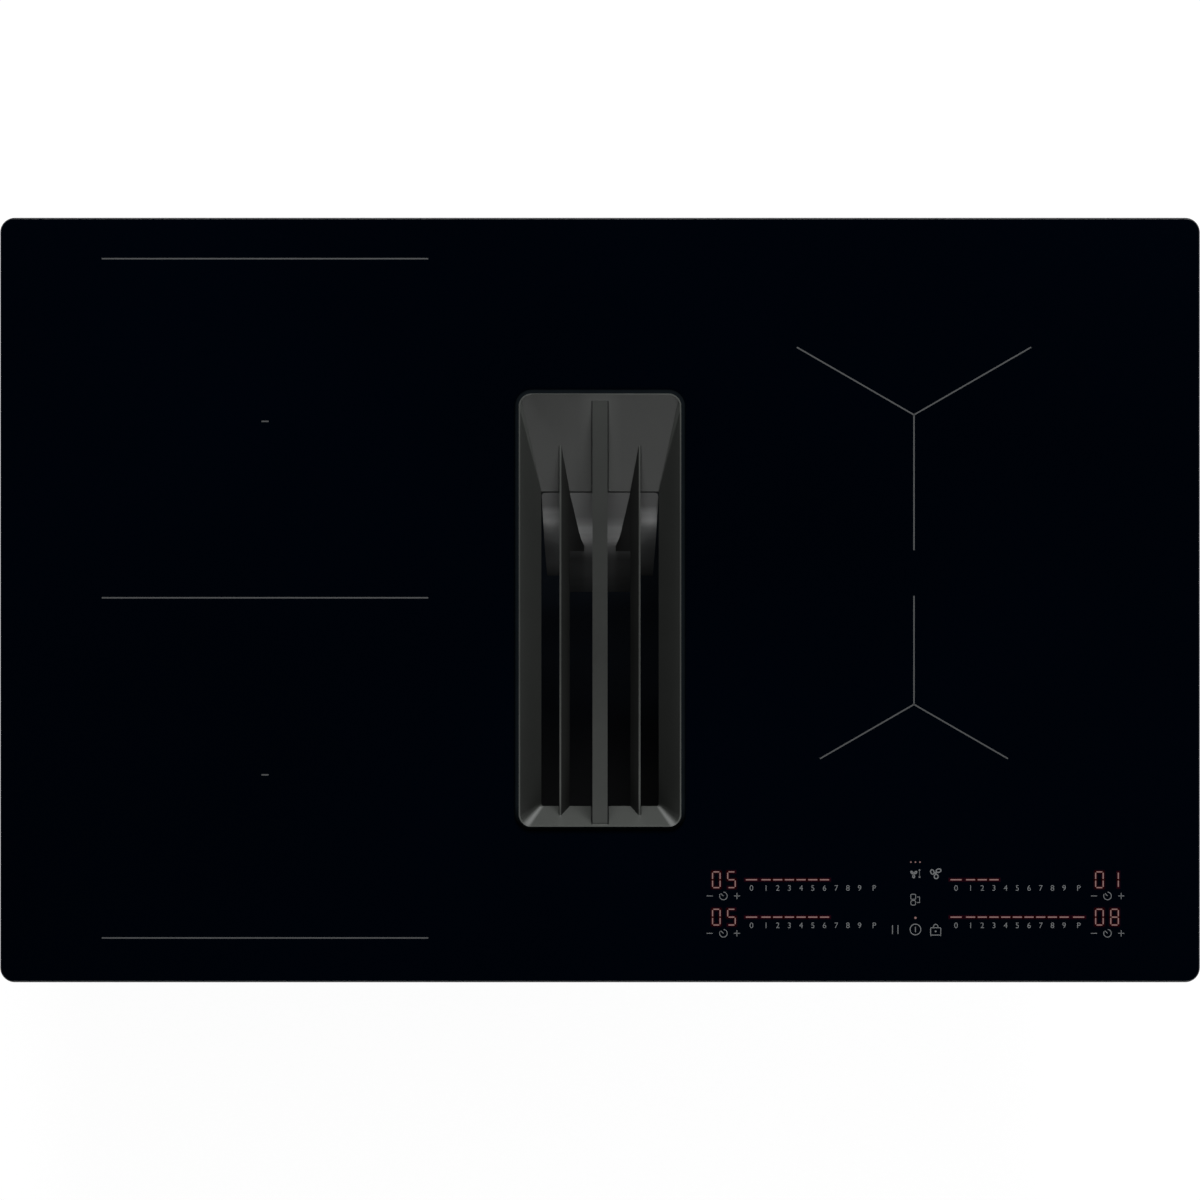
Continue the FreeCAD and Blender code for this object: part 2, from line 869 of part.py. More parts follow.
def shaft_windows(width):
    """The windows in the shaft's long sides, level with the basket's windows."""
    level = basket_bottom + basket_window_sill
    top = min(level + basket_window_height + basket_rim, casing_bottom - casing_sheet)
    windows = []
    for y in basket_window_places():
        half = (basket_window_length - shaft_window_mullion + basket_mullion) / 2
        windows.append(box(-width, width, y - half, y + half, level - basket_rim, top))
    return windows


def inlet_shaft():
    """A deep well with a top flange, a ledge for the basket, side windows and a drain spout."""
    step_level = ledge_level - shaft_flange
    lower_width = shaft_lower_width + 2 * shaft_wall
    lower_length = shaft_lower_length + 2 * shaft_wall
    flange = plate(
        0, inlet_y, shaft_flange_width, shaft_flange_length, shaft_corner + shaft_flange_reach,
        shaft_top - shaft_flange, shaft_top,
    )
    upper = plate(0, inlet_y, shaft_outer_width, shaft_outer_length, shaft_corner, step_level, shaft_top)
    lower = plate(0, inlet_y, lower_width, lower_length, shaft_corner, shaft_bottom, step_level)
    spout = cylinder(0, inlet_y, spout_radius, shaft_floor_top - spout_height, shaft_floor_top)
    upper_hollow = plate(
        0, inlet_y, shaft_inner_width, shaft_inner_length, shaft_corner - shaft_wall,
        ledge_level, shaft_top + overrun,
    )
    lower_hollow = plate(
        0, inlet_y, shaft_lower_width, shaft_lower_length, shaft_corner - shaft_wall,
        shaft_floor_top, ledge_level + overrun,
    )
    drain = cylinder(
        0, inlet_y, spout_radius - spout_wall, shaft_floor_top - spout_height - overrun,
        shaft_floor_top + overrun,
    )
    body = flange.fuse([upper, lower, spout])
    return body.cut([upper_hollow, lower_hollow, drain, *shaft_windows(shaft_outer_width)]).removeSplitter()


def shaft_gasket():
    """The soft ring between the glass and the shaft's flange."""
    width = shaft_inner_width + 2 * gasket_width
    length = shaft_inner_length + 2 * gasket_width
    return frame(
        0, inlet_y, width + 2 * shaft_clearance, length + 2 * shaft_clearance,
        shaft_corner + gasket_width, gasket_width, shaft_top, glass_bottom,
    )


def floor_opening_size():
    """The casing floor's opening round the shaft."""
    width = shaft_lower_width + 2 * (shaft_wall + opening_clearance)
    length = shaft_lower_length + 2 * (shaft_wall + opening_clearance)
    return width, length


def shaft_seal():
    """A foam collar on the casing floor that closes the gap round the shaft."""
    width, length = floor_opening_size()
    reach = 2 * collar_reach
    return frame(
        0, inlet_y, width + reach, length + reach, shaft_corner + collar_reach,
        collar_reach + opening_clearance - guide_gap, casing_floor, casing_floor + collar_height,
    )


# Casing

def gland_place():
    x = casing_width / 2 - terminal_right_gap - terminal_width / 2
    y = casing_length / 2 - terminal_rear_gap - terminal_length / 2
    return x, y


def bracket_places():
    return [(side, way * bracket_y) for side in (-1, 1) for way in (-1, 1)]


def bracket_screw_seats():
    """Where the bracket screws' heads sit on each bracket's foot, with the way that they point."""
    seats = []
    level = -bracket_top - bracket_height + bracket_foot / 2
    for side, y in bracket_places():
        for way in (-1, 1):
            x = side * (casing_width / 2 + bracket_sheet)
            seats.append((x, y + way * bracket_width / 4, level, point(-side, 0, 0)))
    return seats


def plenum_screw_seats():
    """Where the plenum screws' heads sit under the flange; they point up into the casing floor."""
    seats = []
    level = casing_bottom - plenum_flange_thickness
    middle = (screws_a_side - 1) / 2
    for index in range(screws_a_side):
        share = (index - middle) / screws_a_side
        y = plenum_middle_y + share * plenum_length
        x = plenum_middle_x + share * plenum_width
        for side in (-1, 1):
            edge_x = plenum_middle_x + side * (plenum_width + plenum_flange) / 2
            seats.append((edge_x, y, level, point(0, 0, 1)))
        seats.append((x, -plenum_front - plenum_flange / 2, level, point(0, 0, 1)))
    return seats


def base_casing():
    """A steel pan with an inward flange, cooling slots in its front and rear walls and a shaft opening."""
    outside = plate(0, 0, casing_width, casing_length, casing_corner, casing_bottom, casing_top)
    inside = plate(
        0, 0, casing_width - 2 * casing_sheet, casing_length - 2 * casing_sheet,
        casing_corner - casing_sheet, casing_floor, casing_top - casing_sheet,
    )
    mouth = plate(
        0, 0, casing_width - 2 * casing_flange, casing_length - 2 * casing_flange, casing_corner,
        casing_top - 2 * casing_sheet, casing_top + overrun,
    )
    opening_width, opening_length = floor_opening_size()
    opening = plate(
        0, inlet_y, opening_width, opening_length, shaft_corner + opening_clearance,
        casing_bottom - overrun, casing_floor + overrun,
    )
    gland_x, gland_y = gland_place()
    cutters = [
        inside,
        mouth,
        opening,
        cylinder(gland_x, gland_y, gland_radius + gland_fit, casing_bottom - overrun, casing_floor + overrun),
    ]
    slot_top = casing_top - wall_slot_drop
    first = -slot_pitch * (wall_slots - 1) / 2
    for bank in (-1, 1):
        for index in range(wall_slots):
            x = bank * wall_slot_bank_x + first + index * slot_pitch
            for end in (-1, 1):
                y = end * casing_length / 2
                cutters.append(
                    box(
                        x - slot_width / 2, x + slot_width / 2, y - overrun, y + overrun,
                        slot_top - wall_slot_height, slot_top,
                    )
                )
    for seat in [*bracket_screw_seats(), *plenum_screw_seats()]:
        cutters.append(screw_hole(*seat))
    return outside.cut(cutters)


def pillar_places():
    outer = casing_width / 2 - pillar_edge
    inner = shaft_flange_width / 2 + pillar_edge
    front = -casing_length / 2 + pillar_front_edge
    rear = casing_length / 2 - pillar_rear_edge
    places = []
    for side in (-1, 1):
        for x in (outer, inner):
            for y in (front, board_rear_y, rear):
                places.append((side * x, y))
    return places


def tray_pillars():
    return [cylinder(x, y, pillar_radius, casing_floor, coil_tray_bottom) for x, y in pillar_places()]


def coil_tray():
    """The aluminium sheet that carries the coils and the touch control."""
    gap = 2 * (casing_sheet + coil_tray_gap)
    sheet = plate(
        0, 0, casing_width - gap, casing_length - gap, casing_corner, coil_tray_bottom, coil_tray_top
    )
    opening = plate(
        0, inlet_y, shaft_outer_width + 2 * coil_tray_gap, shaft_outer_length + 2 * coil_tray_gap,
        shaft_corner + coil_tray_gap, coil_tray_bottom - overrun, coil_tray_top + overrun,
    )
    return sheet.cut(opening)


# Coils

def zones():
    """Name, centre, half size and corner radius of each cooking zone."""
    half = left_zone_size / 2
    return [
        ("rear_left", left_zone_x, left_rear_y, half, left_zone_corner),
        ("front_left", left_zone_x, left_front_y, half, left_zone_corner),
        ("rear_right", right_zone_x, rear_zone_y, rear_zone_radius, rear_zone_radius),
        ("front_right", right_zone_x, front_zone_y, front_zone_radius, front_zone_radius),
    ]


def zone_plate(x, y, half, corner, z_low, z_high):
    """A disc for a round zone, or a rounded square for the others."""
    if corner >= half:
        return cylinder(x, y, half, z_low, z_high)
    return plate(x, y, 2 * half, 2 * half, corner, z_low, z_high)


def coil_winding(x, y, half, corner):
    """A flat winding whose turns show as ridges on a thin base."""
    turn = (half - winding_bore) / winding_turns
    corner_share = corner / half
    base_top = carrier_top + winding_height / 2
    body = zone_plate(x, y, half, corner, carrier_top, base_top)
    ridges = []
    for index in range(winding_turns):
        outer = half - index * turn
        inner = outer - turn + turn_groove
        outer_corner = corner_share * outer
        inner_corner = corner_share * inner
        ridge = zone_plate(x, y, outer, outer_corner, base_top, winding_top)
        ridges.append(
            ridge.cut(zone_plate(x, y, inner, inner_corner, base_top - overrun, winding_top + overrun))
        )
    bore = cylinder(x, y, winding_bore - turn_groove, carrier_top - overrun, winding_top + overrun)
    return body.fuse(ridges).cut(bore)


def pad_places():
    places = []
    for _, x, y, half, _ in zones():
        for index in range(pads_a_coil):
            angle = math.radians(360 * index / pads_a_coil + pad_angle)
            reach = half * pad_circle_share
            places.append((x + reach * math.cos(angle), y + reach * math.sin(angle)))
    return places


def mica_sheets():
    sheets = []
    for _, x, y, half, corner in zones():
        low = winding_top
        sheets.append(
            zone_plate(x, y, half + mica_border, corner + mica_border, low, low + mica_thickness)
        )
    return sheets


def coil_carriers():
    carriers = []
    for _, x, y, half, corner in zones():
        border = carrier_border
        disc = zone_plate(x, y, half + border, corner + border, carrier_bottom, carrier_top)
        hole = cylinder(x, y, sensor_hole, carrier_bottom - overrun, carrier_top + overrun)
        carriers.append(disc.cut(hole))
    return carriers


def ferrite_bar_group():
    bars = []
    for _, x, y, half, _ in zones():
        for index in range(ferrite_bars):
            bar = box(
                x + winding_bore, x + half, y - ferrite_width / 2, y + ferrite_width / 2,
                carrier_bottom - ferrite_height, carrier_bottom,
            )
            bar.rotate(point(x, y, 0), point(0, 0, 1), 360 * index / ferrite_bars)
            bars.append(bar)
    return bars


def temperature_sensors():
    return [cylinder(x, y, sensor_radius, coil_tray_top, winding_top) for _, x, y, _, _ in zones()]


def coil_pads():
    return [cylinder(x, y, pad_radius, coil_tray_top, carrier_bottom) for x, y in pad_places()]


# Power electronics

def power_board(side):
    x = side * module_x
    return box(
        x - board_width / 2, x + board_width / 2, board_front_y, board_rear_y,
        board_bottom, board_top,
    )


def board_pegs():
    pegs = []
    for side in (-1, 1):
        for end_x in (-1, 1):
            for end_y in (-1, 1):
                x = side * module_x + end_x * (board_width / 2 - peg_inset)
                y = board_middle_y + end_y * (board_length / 2 - peg_inset)
                pegs.append(cylinder(x, y, peg_radius, casing_floor, board_bottom))
    return pegs


def heat_sink(side):
    """A finned aluminium bar along the middle of the board, in line with the fan's outlet."""
    x = side * module_x
    y_low = board_middle_y - sink_length / 2
    y_high = board_middle_y + sink_length / 2
    base = box(x - sink_width / 2, x + sink_width / 2, y_low, y_high, board_top, board_top + sink_base)
    fins = []
    pitch = (sink_width - sink_fin_thickness) / (sink_fins - 1)
    for index in range(sink_fins):
        fin_x = x - sink_width / 2 + pitch * index
        fins.append(
            box(fin_x, fin_x + sink_fin_thickness, y_low, y_high, board_top, board_top + sink_height)
        )
    return base.fuse(fins).removeSplitter()


def transistors():
    """Power transistors that stand on the boards against both sides of each heat sink."""
    blocks = []
    pitch = sink_length / transistors_a_side
    for side in (-1, 1):
        for flank in (-1, 1):
            face_x = side * module_x + flank * sink_width / 2
            x_low, x_high = sorted((face_x, face_x + flank * transistor_thickness))
            for index in range(transistors_a_side):
                y = board_middle_y + pitch * (index - (transistors_a_side - 1) / 2)
                blocks.append(
                    box(
                        x_low, x_high, y - transistor_size / 2, y + transistor_size / 2,
                        board_top, board_top + transistor_height,
                    )
                )
    return blocks


def capacitor_group():
    pieces = []
    pitch = board_length / capacitors
    for side in (-1, 1):
        x = side * (module_x + board_width / 2 - 2 * capacitor_radius)
        for index in range(capacitors):
            y = board_middle_y + pitch * (index - (capacitors - 1) / 2)
            pieces.append(cylinder(x, y, capacitor_radius, board_top, board_top + capacitor_height))
    return pieces


def choke_group():
    pieces = []
    pitch = board_length / (chokes + 1)
    for side in (-1, 1):
        x = side * (module_x - board_width / 2 + 2 * choke_radius)
        for index in range(chokes):
            y = board_middle_y + pitch * (index - (chokes - 1) / 2)
            pieces.append(ring(x, y, choke_radius, choke_bore, board_top, board_top + choke_height))
    return pieces


# Cooling fans

def fan_housing(side):
    """A radial fan's box: round inside, open to the front, with a round intake in the lid."""
    x = side * module_x
    top = casing_floor + fan_box_height
    block = plate(x, fan_y, fan_box, fan_box, fan_box_corner, casing_floor, top)
    scroll = cylinder(x, fan_y, fan_scroll_radius, fan_floor_top, top - fan_wall)
    outlet = box(
        x - fan_scroll_radius, x - fan_scroll_radius + fan_outlet_width, fan_y - fan_box / 2 - overrun, fan_y,
        fan_floor_top, top - fan_wall,
    )
    intake = cylinder(x, fan_y, fan_intake_radius, top - fan_wall - overrun, top + overrun)
    return block.cut([scroll, outlet, intake])


def fan_motors():
    pieces = []
    for side in (-1, 1):
        pieces.append(
            ring(
                side * module_x, fan_y, fan_motor_radius, fan_spindle_radius + axle_clearance,
                fan_floor_top, fan_floor_top + fan_motor_height,
            )
        )
    return pieces


def swept_blades(x, y, inner_radius, outer_radius, count, z_low, z_high):
    """Thin upright blades that lean forward round a wheel."""
    blades = []
    chord = outer_radius - inner_radius
    half = blade_sheet / 2
    sweep = chord * math.tan(math.radians(blade_sweep))
    for index in range(count):
        blade = prism(
            [
                point(x + inner_radius, y - half, z_low),
                point(x + outer_radius, y + sweep - half, z_low),
                point(x + outer_radius, y + sweep + half, z_low),
                point(x + inner_radius, y + half, z_low),
            ],
            point(0, 0, z_high - z_low),
        )
        blade.rotate(point(x, y, 0), point(0, 0, 1), 360 * index / count)
        blades.append(blade)
    return blades


def fan_rotor(side):
    """A small wheel: a floor disc with a hub cap over the motor, blades, a top ring and its spindle."""
    x = side * module_x
    bottom = fan_floor_top + fan_gap
    top = bottom + fan_height
    cap_radius = fan_motor_radius + fan_gap
    cap_level = fan_floor_top + fan_motor_height + fan_gap
    blade_root = fan_radius - fan_blade_chord
    disc = ring(x, fan_y, fan_radius, cap_radius, bottom, bottom + fan_wall)
    wall = ring(x, fan_y, cap_radius + fan_wall, cap_radius, bottom, cap_level + fan_wall)
    cap = cylinder(x, fan_y, cap_radius + fan_wall, cap_level, cap_level + fan_wall)
    crown = ring(x, fan_y, fan_radius, blade_root, top - fan_wall, top)
    spindle = cylinder(x, fan_y, fan_spindle_radius, bottom, cap_level + fan_wall)
    blades = swept_blades(
        x, fan_y, blade_root + blade_sheet, fan_radius - blade_sheet, fan_blades, bottom, top - fan_wall / 2
    )
    return disc.fuse([wall, cap, crown, spindle, *blades]).removeSplitter()


# Touch control

def control_place():
    """Middle of the touch control and its top level."""
    x = glass_width / 2 - control_side_gap - casing_overhang - control_width / 2
    y = -glass_depth / 2 + casing_overhang_front + control_front_gap + casing_flange + control_length / 2
    return x, y, glass_bottom - control_gap


def touch_carrier():
    x, y, top = control_place()
    outside = plate(x, y, control_width, control_length, control_wall * 2, coil_tray_top, top)
    inside = plate(
        x, y, control_width - 2 * control_wall, control_length - 2 * control_wall, control_wall,
        coil_tray_top + control_wall, top + overrun,
    )
    posts = []
    floor = coil_tray_top + control_wall
    for end_x in (-1, 1):
        for end_y in (-1, 1):
            post_x = x + end_x * (control_width / 2 - 2 * control_post - control_wall)
            post_y = y + end_y * (control_length / 2 - 2 * control_post - control_wall)
            posts.append(cylinder(post_x, post_y, control_post, floor, floor + control_board_lift))
    return outside.cut(inside).fuse(posts).removeSplitter()


def touch_board_levels():
    bottom = coil_tray_top + control_wall + control_board_lift
    return bottom, bottom + board_thickness


def touch_board():
    x, y, _ = control_place()
    bottom, top = touch_board_levels()
    inset = control_wall + control_gap
    return box(
        x - control_width / 2 + inset, x + control_width / 2 - inset,
        y - control_length / 2 + inset, y + control_length / 2 - inset,
        bottom, top,
    )


def control_rows():
    x, y, top = control_place()
    _, board = touch_board_levels()
    return x, (y - control_row_spread / 2, y + control_row_spread / 2), board, top


def digit_displays():
    x, rows, low, high = control_rows()
    pieces = []
    for side in (-1, 1):
        middle = x + side * (control_width / 2 - display_end_inset - display_width / 2)
        for y in rows:
            pieces.append(
                box(
                    middle - display_width / 2, middle + display_width / 2,
                    y - display_length / 2, y + display_length / 2, low, high,
                )
            )
    return pieces


def light_bars():
    x, rows, low, high = control_rows()
    pieces = []
    for side in (-1, 1):
        outer = x + side * (control_width / 2 - lightbar_inset)
        inner = outer - side * lightbar_width
        x_low, x_high = sorted((outer, inner))
        for y in rows:
            pieces.append(
                box(x_low, x_high, y - lightbar_length / 2, y + lightbar_length / 2, low, high)
            )
    return pieces


def touch_springs():
    x, rows, low, _ = control_rows()
    pieces = []
    for y in rows:
        for index in range(springs_a_row):
            place = x + spring_pitch * (index - (springs_a_row - 1) / 2)
            pieces.append(cylinder(place, y - spring_row_y, spring_radius, low, glass_bottom))
    return pieces


# Plenum

def tray_opening(clearance, z_low, z_high):
    return plate(
        0, inlet_y, tray_width + 2 * clearance, tray_length + 2 * clearance, tray_corner + clearance,
        z_low, z_high,
    )


def plenum():
    """The plastic tub under the casing, with the blower in its left half and the tray opening in its floor."""
    x = plenum_middle_x
    y = plenum_middle_y
    reach = 2 * plenum_flange
    body = plate(x, y, plenum_width, plenum_length, plenum_corner, plenum_bottom, casing_bottom)
    flange = plate(
        x, y, plenum_width + reach, plenum_length + reach, plenum_corner + plenum_flange,
        casing_bottom - plenum_flange_thickness, casing_bottom,
    )
    band = plate(
        x, y, plenum_width + 2 * plenum_rib_reach, plenum_length + 2 * plenum_rib_reach,
        plenum_corner + plenum_rib_reach,
        casing_bottom - plenum_rib_drop - plenum_rib_height, casing_bottom - plenum_rib_drop,
    )
    hollow = plate(
        x, y, plenum_width - 2 * plenum_wall, plenum_length - 2 * plenum_wall, plenum_corner - plenum_wall,
        plenum_base_top, casing_bottom + overrun,
    )
    duct_hole = box(
        duct_x - duct_width / 2 - tray_clearance, duct_x + duct_width / 2 + tray_clearance,
        plenum_rear - 2 * plenum_wall, plenum_rear + plenum_flange + overrun,
        duct_level - duct_height / 2 - tray_clearance, duct_level + duct_height / 2 + tray_clearance,
    )
    cutters = [
        hollow,
        tray_opening(tray_clearance, plenum_bottom - overrun, plenum_base_top + overrun),
        duct_hole,
    ]
    cutters.extend(screw_hole(*seat) for seat in plenum_screw_seats())
    return body.fuse([flange, band]).cut(cutters).removeSplitter()


def volute_tongue(offset):
    """Where the spiral's wall meets the channel's slanted wall, both grown by offset: the angle, and the
    distance that the slanted wall moves to the right at the rear."""
    angle = math.radians(volute_tongue_angle)
    centre = point(blower_x, blower_y, 0)
    tip = centre + point(volute_inner_radius * math.cos(angle), volute_inner_radius * math.sin(angle), 0)
    along = point(duct_x + duct_width / 2 - duct_wall, volute_rear, 0) - tip
    along.normalize()
    normal = point(along.y, -along.x, 0)
    reach = normal.dot(centre - tip)
    turn = math.acos((offset - reach) / (volute_inner_radius + offset))
    return math.degrees(math.atan2(normal.y, normal.x) + turn), offset / normal.x


def volute_outline(offset):
    """The volute seen from above, grown by offset: a spiral that opens into a widening channel to the rear.
    The channel's left rear corner is cut off to clear the plenum's round corner."""
    steps = 24
    first, shift = volute_tongue(offset)
    knots = []
    for index in range(steps + 1):
        degrees = first - index / steps * (first + 180)
        share = (volute_tongue_angle - degrees) / (volute_tongue_angle + 180)
        angle = math.radians(degrees)
        radius = volute_inner_radius + share * (volute_outer_radius - volute_inner_radius) + offset
        knots.append(point(blower_x + radius * math.cos(angle), blower_y + radius * math.sin(angle), 0))
    curve = Part.BSplineCurve()
    curve.interpolate(knots)
    left = blower_x - volute_outer_radius - offset
    cut = volute_corner_cut(offset)
    corners = [
        knots[-1],
        point(left, volute_rear - cut, 0),
        point(left + cut, volute_rear, 0),
        point(duct_x + duct_width / 2 - duct_wall + shift, volute_rear, 0),
        knots[0],
    ]
    edges = [curve.toShape()]
    for start, end in zip(corners, corners[1:]):
        edges.append(Part.LineSegment(start, end).toShape())
    return Part.Wire(edges)


def volute_corner_cut(offset):
    """The legs of the cut corner, so that the wall keeps its thickness there too."""
    return plenum_corner / 2 + (volute_wall - offset) * (math.sqrt(2) - 1)


def volute_block(offset, z_low, z_high):
    outline = volute_outline(offset)
    outline.translate(point(0, 0, z_low))
    return Part.Face(outline).extrude(point(0, 0, z_high - z_low))


def volute():
    """The blower's spiral housing on its feet, open at the top and towards the duct."""
    outer = volute_block(volute_wall, volute_floor_bottom, volute_top)
    hollow = volute_block(0, volute_floor_top, volute_top + overrun)
    mouth = box(
        blower_x - volute_outer_radius + volute_corner_cut(0), duct_x + duct_width / 2 - duct_wall,
        volute_rear - volute_wall, plenum_rear, volute_floor_top, volute_top + overrun,
    )
    feet = []
    for index in range(4):
        angle = math.radians(45 + 90 * index)
        feet.append(
            cylinder(
                blower_x + volute_foot_circle * math.cos(angle), blower_y + volute_foot_circle * math.sin(angle),
                volute_foot_radius, plenum_base_top, volute_floor_bottom,
            )
        )
    return outer.cut([hollow, mouth]).fuse(feet).removeSplitter()


def volute_cover_part():
    """The lid of the volute with a raised lip round the blower's eye."""
    top = volute_top + volute_cover
    lid = volute_block(volute_wall, volute_top, top)
    lip = cylinder(blower_x, blower_y, eye_radius + eye_lip, volute_top, top + eye_lip_height)
    eye = cylinder(blower_x, blower_y, eye_radius, volute_top - overrun, top + eye_lip_height + overrun)
    return lid.fuse(lip).cut(eye).removeSplitter()


# Blower motor and impeller

def grommet_places():
    places = []
    for index in range(3):
        angle = math.radians(90 + 120 * index)
        places.append((blower_x + grommet_circle * math.cos(angle), blower_y + grommet_circle * math.sin(angle)))
    return places


def motor_grommets():
    return [cylinder(x, y, grommet_radius, volute_floor_top, grommet_top) for x, y in grommet_places()]


def motor_plate_part():
    return cylinder(blower_x, blower_y, motor_plate_radius, grommet_top, motor_bottom)


def motor_housing():
    """A round housing with a bearing pocket in each end."""
    wall = motor_cap
    shell = cylinder(blower_x, blower_y, motor_radius, motor_bottom, motor_top)
    hollow = cylinder(blower_x, blower_y, motor_radius - wall, motor_bottom + wall, motor_top - wall)
    lower_boss = cylinder(
        blower_x, blower_y, bearing_radius + wall, motor_bottom, motor_bottom + wall + bearing_height
    )
    upper_boss = cylinder(
        blower_x, blower_y, bearing_radius + wall, motor_top - wall - bearing_height, motor_top
    )
    lower_pocket = cylinder(
        blower_x, blower_y, bearing_radius, motor_bottom + wall, motor_bottom + wall + bearing_height + overrun
    )
    upper_pocket = cylinder(
        blower_x, blower_y, bearing_radius, motor_top - wall - bearing_height - overrun, motor_top - wall
    )
    passage = cylinder(
        blower_x, blower_y, axle_radius + rotor_gap, motor_top - wall - overrun, motor_top + overrun
    )
    return shell.cut(hollow).fuse([lower_boss, upper_boss]).cut([lower_pocket, upper_pocket, passage])


def bearing_levels():
    lower = motor_bottom + motor_cap
    upper = motor_top - motor_cap - bearing_height
    return lower, upper


def motor_bearings():
    bore = axle_radius + axle_clearance
    return [
        ring(blower_x, blower_y, bearing_radius, bore, level, level + bearing_height)
        for level in bearing_levels()
    ]


def rotor_levels():
    lower, upper = bearing_levels()
    return lower + bearing_height + rotor_gap, upper - rotor_gap


def motor_stator():
    low, high = rotor_levels()
    return ring(blower_x, blower_y, motor_radius - motor_cap, rotor_radius + rotor_gap, low, high)


def motor_rotor():
    """The rotor and its axle, which carries the impeller above the motor."""
    low, high = rotor_levels()
    lower, _ = bearing_levels()
    core = cylinder(blower_x, blower_y, rotor_radius, low, high)
    axle = cylinder(blower_x, blower_y, axle_radius, lower, impeller_hub_top - impeller_plate)
    return core.fuse(axle)


def impeller():
    """The blower wheel: a hub cup over the motor, a floor disc, swept blades and a top ring."""
    bottom = impeller_bottom
    top = bottom + impeller_height
    root = impeller_radius - impeller_blade_chord
    cup_inner = impeller_hub_radius - impeller_plate
    disc = ring(blower_x, blower_y, impeller_radius, cup_inner, bottom, bottom + impeller_plate)
    cup = ring(blower_x, blower_y, impeller_hub_radius, cup_inner, bottom, impeller_hub_top)
    roof = cylinder(blower_x, blower_y, impeller_hub_radius, impeller_hub_top - impeller_plate, impeller_hub_top)
    crown = ring(blower_x, blower_y, impeller_radius, root, top - impeller_plate, top)
    blades = swept_blades(
        blower_x, blower_y, root + blade_sheet, impeller_radius - blade_sheet, impeller_blades,
        bottom, top - impeller_plate / 2,
    )
    return disc.fuse([cup, roof, crown, *blades]).removeSplitter()


# Outlet

def upright_frame(width, height, wall, corner_free, y_low, y_high):
    """A rectangular ring that faces the rear, round the duct's middle."""
    outside = box(
        duct_x - width / 2, duct_x + width / 2, y_low, y_high,
        duct_level - height / 2, duct_level + height / 2,
    )
    inside = box(
        duct_x - width / 2 + wall, duct_x + width / 2 - wall, y_low - corner_free, y_high + corner_free,
        duct_level - height / 2 + wall, duct_level + height / 2 - wall,
    )
    return outside.cut(inside)


def outlet_gasket():
    reach = 2 * spigot_flange_reach
    return upright_frame(
        duct_width + reach, duct_height + reach, spigot_flange_reach - tray_clearance, overrun,
        plenum_rear, plenum_rear + gasket_thickness,
    )


def outlet_spigot():
    """The flat-duct spigot whose flange seals against the plenum's rear wall."""
    reach = 2 * spigot_flange_reach
    start = plenum_rear + gasket_thickness
    tube = upright_frame(
        duct_width, duct_height, duct_wall, overrun, plenum_rear - plenum_wall, start + spigot_length
    )
    flange = upright_frame(
        duct_width + reach, duct_height + reach, spigot_flange_reach + duct_wall, overrun,
        start, start + spigot_flange,
    )
    return tube.fuse(flange).removeSplitter()


# Overflow tray

def overflow_tray():
    """A shallow tray pushed up into the plenum floor; its flange stops on the underside."""
    low = plenum_bottom - tray_flange
    walls = tray_opening(0, low, tray_top)
    reach = 2 * tray_flange_reach
    flange = plate(
        0, inlet_y, tray_width + reach, tray_length + reach, tray_corner + tray_flange_reach,
        low, plenum_bottom,
    )
    grip = plate(
        0, inlet_y - tray_length / 2 - tray_flange_reach, tray_grip_width, 2 * tray_grip_reach,
        tray_corner, low, plenum_bottom,
    )
    hollow = plate(
        0, inlet_y, tray_width - 2 * tray_wall, tray_length - 2 * tray_wall, tray_corner - tray_wall,
        low + tray_wall, tray_top + overrun,
    )
    return walls.fuse([flange, grip]).cut(hollow).removeSplitter()


# Terminal box and gland

def terminal_box():
    x, y = gland_place()
    outside = plate(
        x, y, terminal_width, terminal_length, terminal_corner, casing_floor, casing_floor + terminal_height
    )
    inside = plate(
        x, y, terminal_width - 2 * terminal_wall, terminal_length - 2 * terminal_wall,
        terminal_corner - terminal_wall, casing_floor - overrun, casing_floor + terminal_height - terminal_wall,
    )
    return outside.cut(inside)


def terminal_block():
    """A screw terminal strip on the casing floor beside the gland."""
    x, y = gland_place()
    rear = y + terminal_length / 2 - terminal_wall - terminal_corner
    strip = box(
        x - block_width / 2, x + block_width / 2, rear - block_length / 2, rear,
        casing_floor, casing_floor + block_height,
    )
    pitch = block_width / block_poles
    holes = []
    for index in range(block_poles):
        hole_x = x + pitch * (index - (block_poles - 1) / 2)
        holes.append(
            cylinder(
                hole_x, rear - block_length / 4, block_screw_radius,
                casing_floor + block_height / 2, casing_floor + block_height + overrun,
            )
        )
    return strip.cut(holes)


def gland_levels():
    flange_low = casing_bottom - gland_flange
    return flange_low - gland_thread_length, flange_low, casing_floor + gland_inner_length


def cable_gland():
    """The cord's inlet: a sleeve through the casing floor with a flange below it."""
    x, y = gland_place()
    low, flange_low, high = gland_levels()
    sleeve = cylinder(x, y, gland_radius, low, high)
    flange = cylinder(x, y, gland_flange_radius, flange_low, casing_bottom)
    bore = cylinder(x, y, gland_bore, low - overrun, high + overrun)
    return sleeve.fuse(flange).cut(bore)


def gland_nut():
    """The nut on the gland's lower thread."""
    x, y = gland_place()
    _, flange_low, _ = gland_levels()
    return ring(x, y, gland_nut_radius, gland_radius + gland_fit, flange_low - gland_thread_length, flange_low)


# Brackets and screws

